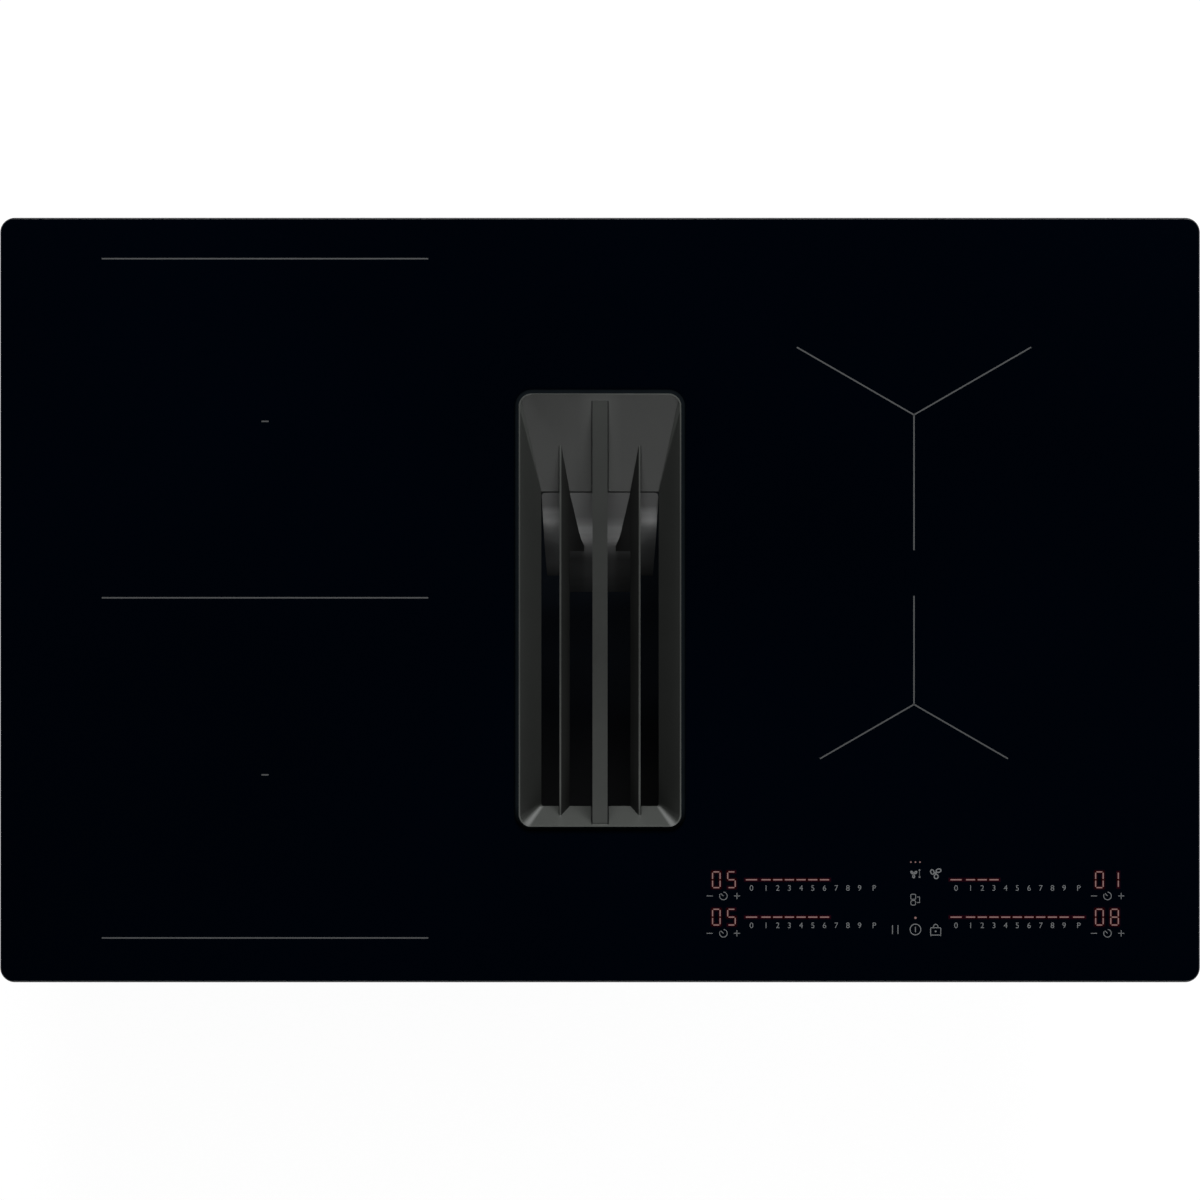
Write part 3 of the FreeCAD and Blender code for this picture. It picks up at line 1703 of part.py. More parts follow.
def side_brackets():
    """Stepped steel tabs on both side walls; the hole in each takes a screw into the cut-out wall."""
    brackets = []
    foot_top = -bracket_top - bracket_height + bracket_foot
    foot_bottom = foot_top - bracket_foot
    for side, y in bracket_places():
        wall = side * casing_width / 2
        near = side * (casing_width / 2 + bracket_offset)
        far = side * (casing_width / 2 + bracket_offset + bracket_sheet)
        foot_x = sorted((wall, wall + side * bracket_sheet))
        tab_x = sorted((near, far))
        web_x = sorted((wall, far))
        y_low = y - bracket_width / 2
        y_high = y + bracket_width / 2
        foot = box(foot_x[0], foot_x[1], y_low, y_high, foot_bottom, foot_top)
        web = box(web_x[0], web_x[1], y_low, y_high, foot_top - bracket_sheet, foot_top)
        tab = box(tab_x[0], tab_x[1], y_low, y_high, foot_top - bracket_sheet, -bracket_top)
        hole = Part.makeCylinder(
            bracket_hole, bracket_sheet + 2 * overrun,
            point(side * (casing_width / 2 + bracket_offset - overrun), y, -bracket_top - bracket_hole_drop),
            point(side, 0, 0),
        )
        holes = [hole]
        for seat in bracket_screw_seats():
            if seat[0] * side > 0 and abs(seat[1] - y) < bracket_width:
                holes.append(screw_hole(*seat))
        brackets.append(foot.fuse([web, tab]).removeSplitter().cut(holes))
    return brackets


def casing_screws():
    return [screw(*seat) for seat in [*bracket_screw_seats(), *plenum_screw_seats()]]


save("glass_panel", glass_panel())
save("worktop_seal", worktop_seal())
save("glass_adhesive", glass_adhesive())
save("inlet_grille", inlet_grille())
save("filter_basket", filter_basket())
save("air_guide", air_guide())
save("grease_mesh_left", grease_mesh(-1))
save("grease_mesh_right", grease_mesh(1))
save("shaft_gasket", shaft_gasket())
save("inlet_shaft", inlet_shaft())
save("shaft_seal", shaft_seal())
save("base_casing", base_casing())
save_group("tray_pillars", tray_pillars())
save("coil_tray", coil_tray())
for zone_name, zone_x, zone_y, zone_half, zone_corner in zones():
    save("coil_" + zone_name, coil_winding(zone_x, zone_y, zone_half, zone_corner))
save_group("mica_sheets", mica_sheets())
save_group("coil_carriers", coil_carriers())
save_group("ferrite_bars", ferrite_bar_group())
save_group("temperature_sensors", temperature_sensors())
save_group("coil_pads", coil_pads())
for hand, way in (("left", -1), ("right", 1)):
    save("power_board_" + hand, power_board(way))
    save("heat_sink_" + hand, heat_sink(way))
    save("fan_housing_" + hand, fan_housing(way))
    save("fan_rotor_" + hand, fan_rotor(way))
save_group("board_pegs", board_pegs())
save_group("power_transistors", transistors())
save_group("capacitors", capacitor_group())
save_group("chokes", choke_group())
save_group("fan_motors", fan_motors())
save("touch_carrier", touch_carrier())
save("touch_board", touch_board())
save_group("digit_displays", digit_displays())
save_group("light_bars", light_bars())
save_group("touch_springs", touch_springs())
save("plenum", plenum())
save("volute", volute())
save("volute_cover", volute_cover_part())
save_group("motor_grommets", motor_grommets())
save("motor_plate", motor_plate_part())
save("motor_housing", motor_housing())
save("motor_stator", motor_stator())
save_group("motor_bearings", motor_bearings())
save("motor_rotor", motor_rotor())
save("impeller", impeller())
save("outlet_gasket", outlet_gasket())
save("outlet_spigot", outlet_spigot())
save("overflow_tray", overflow_tray())
save("terminal_box", terminal_box())
save("terminal_block", terminal_block())
save("cable_gland", cable_gland())
save("gland_nut", gland_nut())
save_group("side_brackets", side_brackets())
save_group("casing_screws", casing_screws())
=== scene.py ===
import json
import math

import bmesh
import bpy
from mathutils import Matrix, Vector


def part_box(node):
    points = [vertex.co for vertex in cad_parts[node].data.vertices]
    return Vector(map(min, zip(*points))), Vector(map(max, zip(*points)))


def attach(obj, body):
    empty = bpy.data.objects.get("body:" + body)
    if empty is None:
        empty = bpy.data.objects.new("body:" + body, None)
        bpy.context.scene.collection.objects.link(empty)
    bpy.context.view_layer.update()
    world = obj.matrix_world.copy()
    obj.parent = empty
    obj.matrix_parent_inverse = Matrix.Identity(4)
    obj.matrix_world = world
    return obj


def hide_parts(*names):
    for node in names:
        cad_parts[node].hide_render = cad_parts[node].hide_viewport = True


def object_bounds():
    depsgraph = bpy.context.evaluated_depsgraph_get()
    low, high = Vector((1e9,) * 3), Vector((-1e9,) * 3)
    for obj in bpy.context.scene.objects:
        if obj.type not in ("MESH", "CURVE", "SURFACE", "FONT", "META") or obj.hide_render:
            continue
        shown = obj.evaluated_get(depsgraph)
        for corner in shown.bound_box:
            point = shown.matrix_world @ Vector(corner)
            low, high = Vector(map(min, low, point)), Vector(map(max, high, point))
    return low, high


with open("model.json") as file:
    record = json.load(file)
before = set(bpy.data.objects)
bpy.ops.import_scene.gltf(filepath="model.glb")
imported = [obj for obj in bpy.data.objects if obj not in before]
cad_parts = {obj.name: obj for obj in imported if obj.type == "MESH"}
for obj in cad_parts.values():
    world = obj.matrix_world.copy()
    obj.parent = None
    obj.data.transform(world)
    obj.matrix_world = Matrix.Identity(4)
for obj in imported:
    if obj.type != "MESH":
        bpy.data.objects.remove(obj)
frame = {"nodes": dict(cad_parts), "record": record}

bl_info = {
    "name": "Downdraft Cooktop",
    "version": (1, 0, 0),
    "blender": (4, 5, 0),
    "location": "View3D > Sidebar > Cooktop",
    "description": "Dresses a built-in induction cooktop with a downdraft extractor",
    "category": "Object",
}

# Everything is in metres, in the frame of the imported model: X to the right, Y to the rear, Z up.
MM = 0.001

CAD_LOW, CAD_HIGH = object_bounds()
GLASS_LOW, GLASS_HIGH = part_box("glass_panel")
GRILLE_LOW, GRILLE_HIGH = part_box("inlet_grille")
CONTROL_LOW, CONTROL_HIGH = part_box("touch_carrier")
CONTROL_MIDDLE = (CONTROL_LOW + CONTROL_HIGH) / 2

# The lower and upper levels of the print and of the lit signs, and the level of the glow.
GLASS_TOP = GLASS_HIGH.z
PRINT_LEVELS = (GLASS_TOP - 0.02 * MM, GLASS_TOP + 0.05 * MM)
LIGHT_LEVELS = (GLASS_TOP - 0.02 * MM, GLASS_TOP + 0.06 * MM)
GLOW_LEVEL = GLASS_TOP + 0.02 * MM

# Widths of the grille's shoulder and rim, and runs of its side and front walls, seen from above.
SHOULDER = 2.8 * MM
RIM = 1.0 * MM
RIM_CORNER = 8.8 * MM
SIDE_RUN = 14.2 * MM
FRONT_RUN = 12.4 * MM

# The funnel's throat: how far aside its walls end, and where it begins at the front and ends at the rear.
THROAT_ASIDE = GRILLE_HIGH.x - SHOULDER - RIM - SIDE_RUN
THROAT_FRONT = GRILLE_LOW.y + SHOULDER + RIM + FRONT_RUN
THROAT_REAR = 74.2 * MM

# The creases beside the rib and the blades, measured sideways, and the tops of the rib and the blades.
RIB_CREASE = (5.08 * MM, 5.96 * MM)
BLADE_CREASE = (27.62 * MM, 28.12 * MM)
RIB_TOP = 6.0 * MM
BLADE_TOP = -4.2 * MM

# How much lighter the coat is painted on the rib's top, on the blades' and rim's tops and on the front wall:
# in the middle of the grille, at its rear and at its front. This is painted light: the edges and the front
# are painted lighter to stand in for the light they catch.
RIB_TONES = (1.08, 1.30, 1.85)
EDGE_TONES = (1.70, 2.20, 2.80)
FRONT_WALL_TONE = 2.15

# Painted light and shade on the coat: the ramp beside the rib is painted lighter, and the side walls are
# painted darker at the front and lighter beside the folds and in the strip that rolls over into the ramp;
# each is a tone of the coat.
BESIDE_RIB_TONES = (1.9, 1.5)
WALL_FRONT_TONE = 0.80
WALL_FOLD_TONE = 2.3
WALL_ROLL_TONE = 2.1

# The stretches along the grille, sideways from its middle and across the strip over which a painted tone
# changes.
REAR_TURN = (40.0 * MM, 140.0 * MM)
FRONT_TURN = (-40.0 * MM, -150.0 * MM)
RAMP_TURN = (75.0 * MM, 110.0 * MM)
WALL_TURN = (-140.0 * MM, -40.0 * MM)
RAMP_ASIDE = (5.9 * MM, 15.0 * MM)
PAST_RIB = (6.0 * MM, 7.0 * MM)
ROLL_EDGE = (-0.5 * MM, 0.9 * MM)

# The shares of facing up, to the side or to the rear over which one painted tone gives way to another, so
# that the painted light and shade follow the way each face turns: on the coat's tops, side walls and front
# wall, and on the guide's bend and fins.
COAT_UP = (0.975, 0.995)
COAT_SIDE = (0.45, 0.60)
COAT_REAR = (0.55, 0.80)
GUIDE_UP = (0.70, 0.93)
GUIDE_SIDE = (0.30, 0.50)

# How far the folds lean out for each length forwards, and the same for the strip's edge, turned round; they
# place the painted highlight along the folds and the painted light on the strip.
FOLD_LEAN = 0.72
ROLL_LEAN = 3.83

# Painted light and shade along the air guide's outer lobes, along its middle tongue, on the tongue's sides,
# which are painted dark, and along the filter basket's floor: each a place in millimetres from front to rear
# and a tone.
LOBE_TONES = (
    (14, 0.18), (19, 0.42), (27, 0.60), (35, 0.72), (40, 1.00), (46, 1.10), (50, 1.30),
    (52, 1.60), (54, 1.80), (56, 1.95), (58, 2.70), (60, 3.40), (62, 2.50), (64.5, 1.00),
)
TONGUE_TONES = (
    (5, 0.36), (15, 0.27), (29, 0.31), (31.3, 0.38), (33.3, 0.55), (35.4, 0.65), (39.4, 0.74),
    (41.5, 1.00), (43.5, 2.05), (46, 3.40), (49.5, 3.80), (51.7, 2.60), (54, 1.90), (57, 1.15),
)
TONGUE_SIDE_TONES = ((24, 0.75), (30, 0.60), (34, 0.42), (37, 0.42), (39, 1.00))
# How far aside the tongue's painted side shade sets in, where the lobes begin, and the tones of the painted
# highlight on the guide's bend and of the painted shade on its fins.
TONGUE_SIDE = (9.5 * MM, 12.5 * MM)
LOBE_START = (24.0 * MM, 26.0 * MM)
BEND_HIGHLIGHT_TONE = 3.2
FIN_SHADE_TONE = 0.36
BASKET_TONES = (
    (-130, 0.5), (-109, 0.9), (-99, 1.5), (-88, 3.2), (-78, 8.0), (-68, 12.0), (-40, 17.0),
    (0, 15.0), (35, 8.0),
)
# How much lighter the basket's sides are than its colour, and the height below which the floor's painted
# tones take over.
BASKET_SIDE_TONE = 2.0
BASKET_FLOOR = (-146.5 * MM, -145.5 * MM)

# The timer signs: how far aside the nearer sign, the dial and the farther sign stand, their half sizes, and
# how far aside and up the dial's hand reaches as a share of its radius.
TIMER_PLACES = (121.4 * MM, 130.6 * MM, 139.9 * MM)
TIMER_REACH = 2.1 * MM
DIAL_RADIUS = 2.6 * MM
HAND = 0.66

# The bold and the fine stroke as shares of the plain one.
BOLD = 1.3
FINE = 0.85

# A capital's height as a share of the typeface's size, and how much the print thins a number's strokes.
CAPITAL = 0.72
THINNING = 0.03 * MM

# An edge is rounded only where the edges that meet it are longer than the rounding by this factor.
ROOM = 2.5

GLASS_IOR = 1.52
GLOW_COLOUR = (0.020, 0.0004, 0.0010)
OVERHEAD_COLOUR = (0.002, 0.003, 0.006)
FLOOR_HALF = 15.0
VIEW_END = 100.0

BODIES = {node: body for body, nodes in frame["record"]["behaviour"]["bodies"].items() for node in nodes}


def middle(node):
    """The middle of a node's box at rest."""
    low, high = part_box(node)
    return (low + high) / 2


# Settings

def colour_setting(name, description, default):
    return bpy.props.FloatVectorProperty(
        name=name, description=description, subtype="COLOR", size=3, min=0, max=1, default=default,
    )


def share_setting(name, description, default):
    return bpy.props.FloatProperty(
        name=name, description=description, default=default, min=0, max=1, subtype="FACTOR",
    )


def strength_setting(name, description, default):
    return bpy.props.FloatProperty(name=name, description=description, default=default, min=0)


def length_setting(name, description, default):
    """A length whose default is given in millimetres."""
    return bpy.props.FloatProperty(name=name, description=description, default=default * MM, unit="LENGTH")


class CooktopFinish(bpy.types.PropertyGroup):
    """Colours and roughness of the main finishes."""
    glass: colour_setting("Glass", "Body colour of the ceramic glass", (0.0001, 0.0009, 0.0027))
    glass_roughness: share_setting("Glass roughness", "Roughness of the polished glass", 0.045)
    coat: colour_setting("Grille coat", "Colour of the grille's matt coat", (0.030, 0.032, 0.030))
    shoulder: colour_setting("Shoulder", "Colour of the grille's outer shoulder", (0.0056, 0.0076, 0.0094))
    # This colour is a painted highlight along the two front folds.
    fold_highlight: colour_setting("Grille fold", "Colour along the two front folds", (0.180, 0.186, 0.182))
    coat_roughness: share_setting("Grille roughness", "Roughness of the grille's coat", 0.42)
    guide: colour_setting("Air guide", "Colour of the air guide's plastic", (0.034, 0.035, 0.035))
    dark_plastic: colour_setting("Dark plastic", "Colour of the inlet shaft", (0.008, 0.0085, 0.010))
    basket: colour_setting("Basket", "Colour of the filter basket's plastic", (0.0032, 0.0046, 0.0072))
    box_plastic: colour_setting("Plenum plastic", "Colour of the extractor's housing", (0.022, 0.023, 0.025))
    print_grey: colour_setting("Print", "Colour of the zones' printed lines", (0.075, 0.078, 0.080))
    sign_grey: colour_setting("Signs", "Colour of the printed numbers and signs", (0.170, 0.178, 0.184))
    lit_red: colour_setting("Lit red", "Colour of the lit digits and bars", (0.25, 0.155, 0.145))


class CooktopMarks(bpy.types.PropertyGroup):
    """Sizes of the cooking zones' printed marks."""
    line: length_setting("Line", "Width of a printed line", 0.95)
    bar_length: length_setting("Bar", "Length of the lines across the left zones", 222)
    rear_bar: length_setting("Rear bar", "Place of the rear line in front of the glass's rear edge", 27.9)
    front_bar: length_setting("Front bar", "Place of the front line behind the glass's front edge", 30.2)
    middle_bar: length_setting("Middle bar", "Place of the middle line behind the glass's centre", 1.5)
    dash: length_setting("Dash", "Length of the dash at a left zone's centre", 4.8)
    rear_arm: length_setting("Rear arm", "Length of each arm of the rear right mark", 92)
    front_arm: length_setting("Front arm", "Length of each arm of the front right mark", 73.8)


class CooktopControls(bpy.types.PropertyGroup):
    """Sizes and places of the touch control's signs, from the control's middle."""
    shift_x: length_setting("Shift X", "Place of the signs' middle to the right of the control's", 0.3)
    shift_y: length_setting("Shift Y", "Place of the signs' middle behind the control's", -0.34)
    row_pitch: length_setting("Row pitch", "Distance between the two rows", 25.4)
    step: length_setting("Step", "Distance between two numbers of a scale", 7.95)
    end_step: length_setting("End step", "Distance of a scale's first and last sign from its neighbour", 9.9)
    scale_start: length_setting("Scale start", "Place of the left scale's first sign", -111.5)
    scale_shift: length_setting("Scale shift", "Distance from the left scale to the right one", 139.1)
    number_height: length_setting("Number height", "Height of a scale number", 3.95)
    number_drop: length_setting("Number drop", "Distance of the numbers in front of the bars", 5.8)
    bar_length: length_setting("Bar length", "Length of a lit bar", 6.2)
    end_bar_length: length_setting("End bar length", "Length of a scale's first and last bar", 7.6)
    bar_width: length_setting("Bar width", "Width of a lit bar", 0.80)
    digit_height: length_setting("Digit height", "Height of a lit digit", 10.7)
    digit_width: length_setting("Digit width", "Width of a lit digit", 5.1)
    digit_stroke: length_setting("Digit stroke", "Width of a digit's stroke", 0.75)
    digit_near: length_setting("Near digit", "Distance of the nearer digits from the middle", 125.1)
    digit_far: length_setting("Far digit", "Distance of the farther digits from the middle", 135.4)
    stroke: length_setting("Stroke", "Width of a sign's stroke", 0.55)
    timer_drop: length_setting("Timer drop", "Distance of the timer signs in front of the bars", 11.0)
    glow: length_setting("Glow", "Reach of the red glow round a lit stroke", 1.25)


class CooktopStage(bpy.types.PropertyGroup):
    """Camera, lamps and floor."""
    camera_height: length_setting("Camera height", "Height of the camera over the glass", 4000)
    sensor: strength_setting("Sensor", "Width of the camera's sensor in millimetres", 36.0)
    rear_power: strength_setting("Rear lamp", "Power of the rear softbox in watts", 90.0)
    front_power: strength_setting("Front lamp", "Power of the front softbox in watts", 34.0)
    world_fill: strength_setting("Fill", "Strength of the world's even light on the object", 0.16)
    floor_glow: share_setting("Floor brightness", "Brightness that the camera sees in the floor", 0.88)
    floor_grey: share_setting("Floor grey", "How much light the floor scatters", 0.26)


# Node helpers

def new_material(name):
    """A material with its node tree and its Principled shader."""
    material = bpy.data.materials.new(name)
    material.use_nodes = True
    tree = material.node_tree
    return material, tree, tree.nodes["Principled BSDF"]


def feed(tree, node, inputs):
    """Links a node's inputs to sockets, or sets them to plain values."""
    for name, value in inputs.items():
        if isinstance(value, bpy.types.NodeSocket):
            tree.links.new(value, node.inputs[name])
        else:
            node.inputs[name].default_value = value


def add_node(tree, kind, inputs=None, **values):
    """The outputs of a new node with these inputs, whose attributes are set from values."""
    node = tree.nodes.new(kind)
    for key, value in values.items():
        setattr(node, key, value)
    feed(tree, node, inputs or {})
    return node.outputs


def object_coordinates(tree):
    """The place on the object."""
    return add_node(tree, "ShaderNodeTexCoord")["Object"]


def stretched(tree, vector, scale):
    """Coordinates scaled apart along X, Y and Z."""
    return add_node(tree, "ShaderNodeMapping", {"Vector": vector, "Scale": scale})["Vector"]


def parts_of(tree, vector):
    """The X, Y and Z of a place or a direction."""
    return tuple(add_node(tree, "ShaderNodeSeparateXYZ", {"Vector": vector}))


def facing(tree):
    """The X, Y and Z of the way a surface faces."""
    return parts_of(tree, add_node(tree, "ShaderNodeNewGeometry")["Normal"])


def noise(tree, vector, scale, detail=3.0):
    """Noise between 0 and 1 at a scale in features a metre."""
    inputs = {"Vector": vector, "Scale": scale, "Detail": detail, "Roughness": 0.55}
    return add_node(tree, "ShaderNodeTexNoise", inputs)["Fac"]


def calculated(tree, operation, *values):
    """A sum or other calculation of sockets and plain numbers."""
    return add_node(tree, "ShaderNodeMath", dict(enumerate(values)), operation=operation)["Value"]


def ranged(tree, value, low, high, start=0.3, end=0.7):
    """A value that runs from low to high while its source runs from start to end."""
    inputs = {"Value": value, "From Min": start, "From Max": end, "To Min": low, "To Max": high}
    return add_node(tree, "ShaderNodeMapRange", inputs)["Result"]


def rising(tree, value, start, end):
    """Nought up to the start and one from the end."""
    return ranged(tree, value, 0.0, 1.0, start, end)


def falling(tree, value, start, end):
    """One up to the start and nought from the end."""
    return ranged(tree, value, 1.0, 0.0, start, end)


def about(tree, value, middle_value, spread):
    """A value that strays from a middle value by up to a share of it."""
    return ranged(tree, value, middle_value * (1 - spread), middle_value * (1 + spread))


def stepped(tree, value, steps):
    """A tone that runs straight from step to step, each a place in millimetres and a tone."""
    tone = steps[0][1]
    for before, after in zip(steps, steps[1:]):
        tone = ranged(tree, value, tone, after[1], before[0] * MM, after[0] * MM)
    return tone


def mixed(tree, share, first, second):
    """A number between two others by a share; each is a socket or a plain number."""
    inputs = {"Factor": share, "A": first, "B": second}
    return add_node(tree, "ShaderNodeMix", inputs, data_type="FLOAT")["Result"]


def blended(tree, factor, base, over):
    """One colour over another by a factor."""
    inputs = {"Factor": factor, "A": base, "B": (*over, 1)}
    return add_node(tree, "ShaderNodeMix", inputs, data_type="RGBA")["Result"]


def brightened(tree, colour, tone):
    """A colour made lighter or darker by a socket's value."""
    inputs = {"Vector": colour, "Scale": tone}
    return add_node(tree, "ShaderNodeVectorMath", inputs, operation="SCALE")["Vector"]


def shaded(colour, factor):
    """A plain colour made lighter or darker."""
    return tuple(min(1.0, part * factor) for part in colour)


def two_colours(tree, factor, first, second, start=0.3, end=0.7):
    """A colour that runs from the first to the second while the factor runs from start to end."""
    ramp = tree.nodes.new("ShaderNodeValToRGB")
    for element, colour, position in zip(ramp.color_ramp.elements, (first, second), (start, end)):
        element.color = (*colour, 1)
        element.position = position
    feed(tree, ramp, {"Fac": factor})
    return ramp.outputs["Color"]


def both_ways(colour, spread):
    """A plain colour made darker and made lighter by a share."""
    return shaded(colour, 1 - spread), shaded(colour, 1 + spread)


def varied(tree, factor, colour, spread):
    """A colour that is darker and lighter in turns by up to a share."""
    return two_colours(tree, factor, *both_ways(colour, spread))


def bump(tree, shader, height, distance, strength):
    """Fine relief on the shader's normal."""
    relief = add_node(tree, "ShaderNodeBump", {"Height": height, "Distance": distance, "Strength": strength})
    feed(tree, shader, {"Normal": relief["Normal"]})


# Finishes

def ceramic_glass(finish):
    """Polished black glass with faint wiping marks and a ground edge."""
    material, tree, shader = new_material("ceramic_glass")
    place = object_coordinates(tree)
    wipe = noise(tree, stretched(tree, place, (1.0, 0.35, 1.0)), 14.0, 4.0)
    ground = ranged(tree, facing(tree)[2], 0.22, 0.0, 0.90, 0.995)
    feed(tree, shader, {
        "Base Color": varied(tree, noise(tree, place, 3.0, 2.0), finish.glass, 0.15),
        "Roughness": calculated(tree, "ADD", about(tree, wipe, finish.glass_roughness, 0.3), ground),
        "IOR": GLASS_IOR,
    })
    return material


def between_values(tree, value, low, high, soft):
    """One where a value lies between two limits, nought outside, with soft ends."""
    inside = rising(tree, value, low - soft, low)
    return calculated(tree, "MULTIPLY", inside, falling(tree, value, high, high + soft))


def painted_fold_light_masks(tree, aside, along):
    """Masks for painted light: one for the painted highlight on the front folds of the funnel, and one for
    the painted light beside them on the side wall that fades outwards.
    """
    ahead = calculated(tree, "SUBTRACT", THROAT_FRONT, along)
    ridge = calculated(tree, "MULTIPLY_ADD", ahead, FOLD_LEAN, THROAT_ASIDE)
    past = calculated(tree, "SUBTRACT", aside, ridge)
    share = calculated(tree, "DIVIDE", past, calculated(tree, "MULTIPLY_ADD", ahead, 0.27, 1.3 * MM))
    inner = rising(tree, past, -2.2 * MM, -0.3 * MM)
    fold_highlight = calculated(tree, "MINIMUM", inner, falling(tree, share, 0.25, 1.3))
    fold_highlight = calculated(tree, "MULTIPLY", fold_highlight, rising(tree, ahead, 0.0, 0.6 * MM))
    fading = falling(tree, share, 1.0, 4.0)
    return fold_highlight, calculated(tree, "MULTIPLY", fading, rising(tree, ahead, -2.0 * MM, 0.0))


def along_grille(tree, along, tones):
    """A painted tone that changes from the grille's middle to its rear and to its front."""
    tone = ranged(tree, along, tones[0], tones[1], *REAR_TURN)
    return ranged(tree, along, tone, tones[2], *FRONT_TURN)


def painted_top_light(tree, aside, along, height):
    """The coat's painted light on the tops: one tone for the rib, one for the blades and the rim."""
    above = rising(tree, height, RIB_TOP + 0.3 * MM, RIB_TOP + 0.8 * MM)
    edges = calculated(tree, "MAXIMUM", rising(tree, aside, *PAST_RIB), above)
    return mixed(tree, edges, along_grille(tree, along, RIB_TONES), along_grille(tree, along, EDGE_TONES))


def painted_side_wall_shading(tree, aside, along, painted_fold_light_spill):
    """The coat's painted light and shade on the side walls, from their front to the strip that rolls over
    into the ramp.
    """
    wall = ranged(tree, along, WALL_FRONT_TONE, 1.0, *WALL_TURN)
    wall = mixed(tree, painted_fold_light_spill, wall, WALL_FOLD_TONE)
    edge = calculated(tree, "MULTIPLY_ADD", aside, -ROLL_LEAN, ROLL_LEAN * THROAT_ASIDE - THROAT_REAR)
    return ranged(tree, calculated(tree, "ADD", along, edge), wall, WALL_ROLL_TONE, *ROLL_EDGE)


def matt_coat(finish):
    """The grille's dark coat with fine grain and painted light and shade: painted light on the tops, the
    edges and the front wall, painted shade in the creases and a painted highlight along the front folds.
    """
    material, tree, shader = new_material("grille_coat")
    place = object_coordinates(tree)
    across, along, height = parts_of(tree, place)
    facing_x, facing_y, facing_z = facing(tree)
    aside = calculated(tree, "ABSOLUTE", across)
    fold_highlight, painted_fold_light_spill = painted_fold_light_masks(tree, aside, along)
    # Painted light and shade: the ramp beside the rib is painted lighter, and each face's tone follows the
    # way it turns.
    painted_light_beside_rib = ranged(tree, along, *BESIDE_RIB_TONES, *RAMP_TURN)
    ramp = ranged(tree, aside, painted_light_beside_rib, 1.0, *RAMP_ASIDE)
    tone = ranged(tree, facing_z, ramp, painted_top_light(tree, aside, along, height), *COAT_UP)
    wall = painted_side_wall_shading(tree, aside, along, painted_fold_light_spill)
    tone = ranged(tree, calculated(tree, "ABSOLUTE", facing_x), tone, wall, *COAT_SIDE)
    tone = ranged(tree, facing_y, tone, FRONT_WALL_TONE, *COAT_REAR)
    colour = brightened(tree, varied(tree, noise(tree, place, 38.0), finish.coat, 0.05), tone)
    # Painted highlight along the two front folds.
    colour = blended(tree, fold_highlight, colour, finish.fold_highlight)
    # Painted shade: the creases beside the rib and the blades are painted near-black.
    for crease, top, depth in ((RIB_CREASE, RIB_TOP, 1.0), (BLADE_CREASE, BLADE_TOP, 0.8)):
        beside = between_values(tree, aside, *crease, 0.04 * MM)
        under = ranged(tree, height, depth, 0.0, top - 0.25 * MM, top - 0.15 * MM)
        share = calculated(tree, "MULTIPLY", beside, under)
        colour = blended(tree, share, colour, shaded(finish.shoulder, 0.3))
    spread = about(tree, noise(tree, place, 900.0, 2.0), finish.coat_roughness, 0.08)
    feed(tree, shader, {"Base Color": colour, "Roughness": spread})
    bump(tree, shader, noise(tree, place, 2600.0, 2.0), 0.02 * MM, 0.5)
    return material


def black_shoulder(finish):
    """The black slope between the grille's rim and the glass, a little lighter up by the rim; its darker low
    part and darker front are painted shade.
    """
    material, tree, shader = new_material("grille_shoulder")
    place = object_coordinates(tree)
    _, along, height = parts_of(tree, place)
    cloud = noise(tree, place, 60.0)
    colour = varied(tree, cloud, finish.shoulder, 0.1)
    # Painted shade: the slope is painted darker low down and towards the front.
    upwards = ranged(tree, height, 0.12, 1.0, GRILLE_HIGH.z - 0.95 * MM, GRILLE_HIGH.z - 0.10 * MM)
    front = ranged(tree, along, 1.0, 0.15, -140.0 * MM, -152.0 * MM)
    feed(tree, shader, {
        "Base Color": brightened(tree, colour, calculated(tree, "MULTIPLY", upwards, front)),
        "Roughness": ranged(tree, cloud, 0.46, 0.56),
        "Specular IOR Level": 0.0,
    })
    return material


def blade_painted_shade(finish):
    """A painted-shade copy of the coat for the steep sides of the rib and the blades, painted darker
    downwards.
    """
    material, tree, shader = new_material("blade_painted_shade")
    place = object_coordinates(tree)
    cloud = noise(tree, place, 38.0)
    down = ranged(tree, parts_of(tree, place)[2], 0.26, 0.56, -15.0 * MM, -4.5 * MM)
    feed(tree, shader, {
        "Base Color": brightened(tree, varied(tree, cloud, finish.coat, 0.05), down),
        "Roughness": ranged(tree, cloud, 0.55, 0.65),
        "Specular IOR Level": 0.3,
    })
    return material


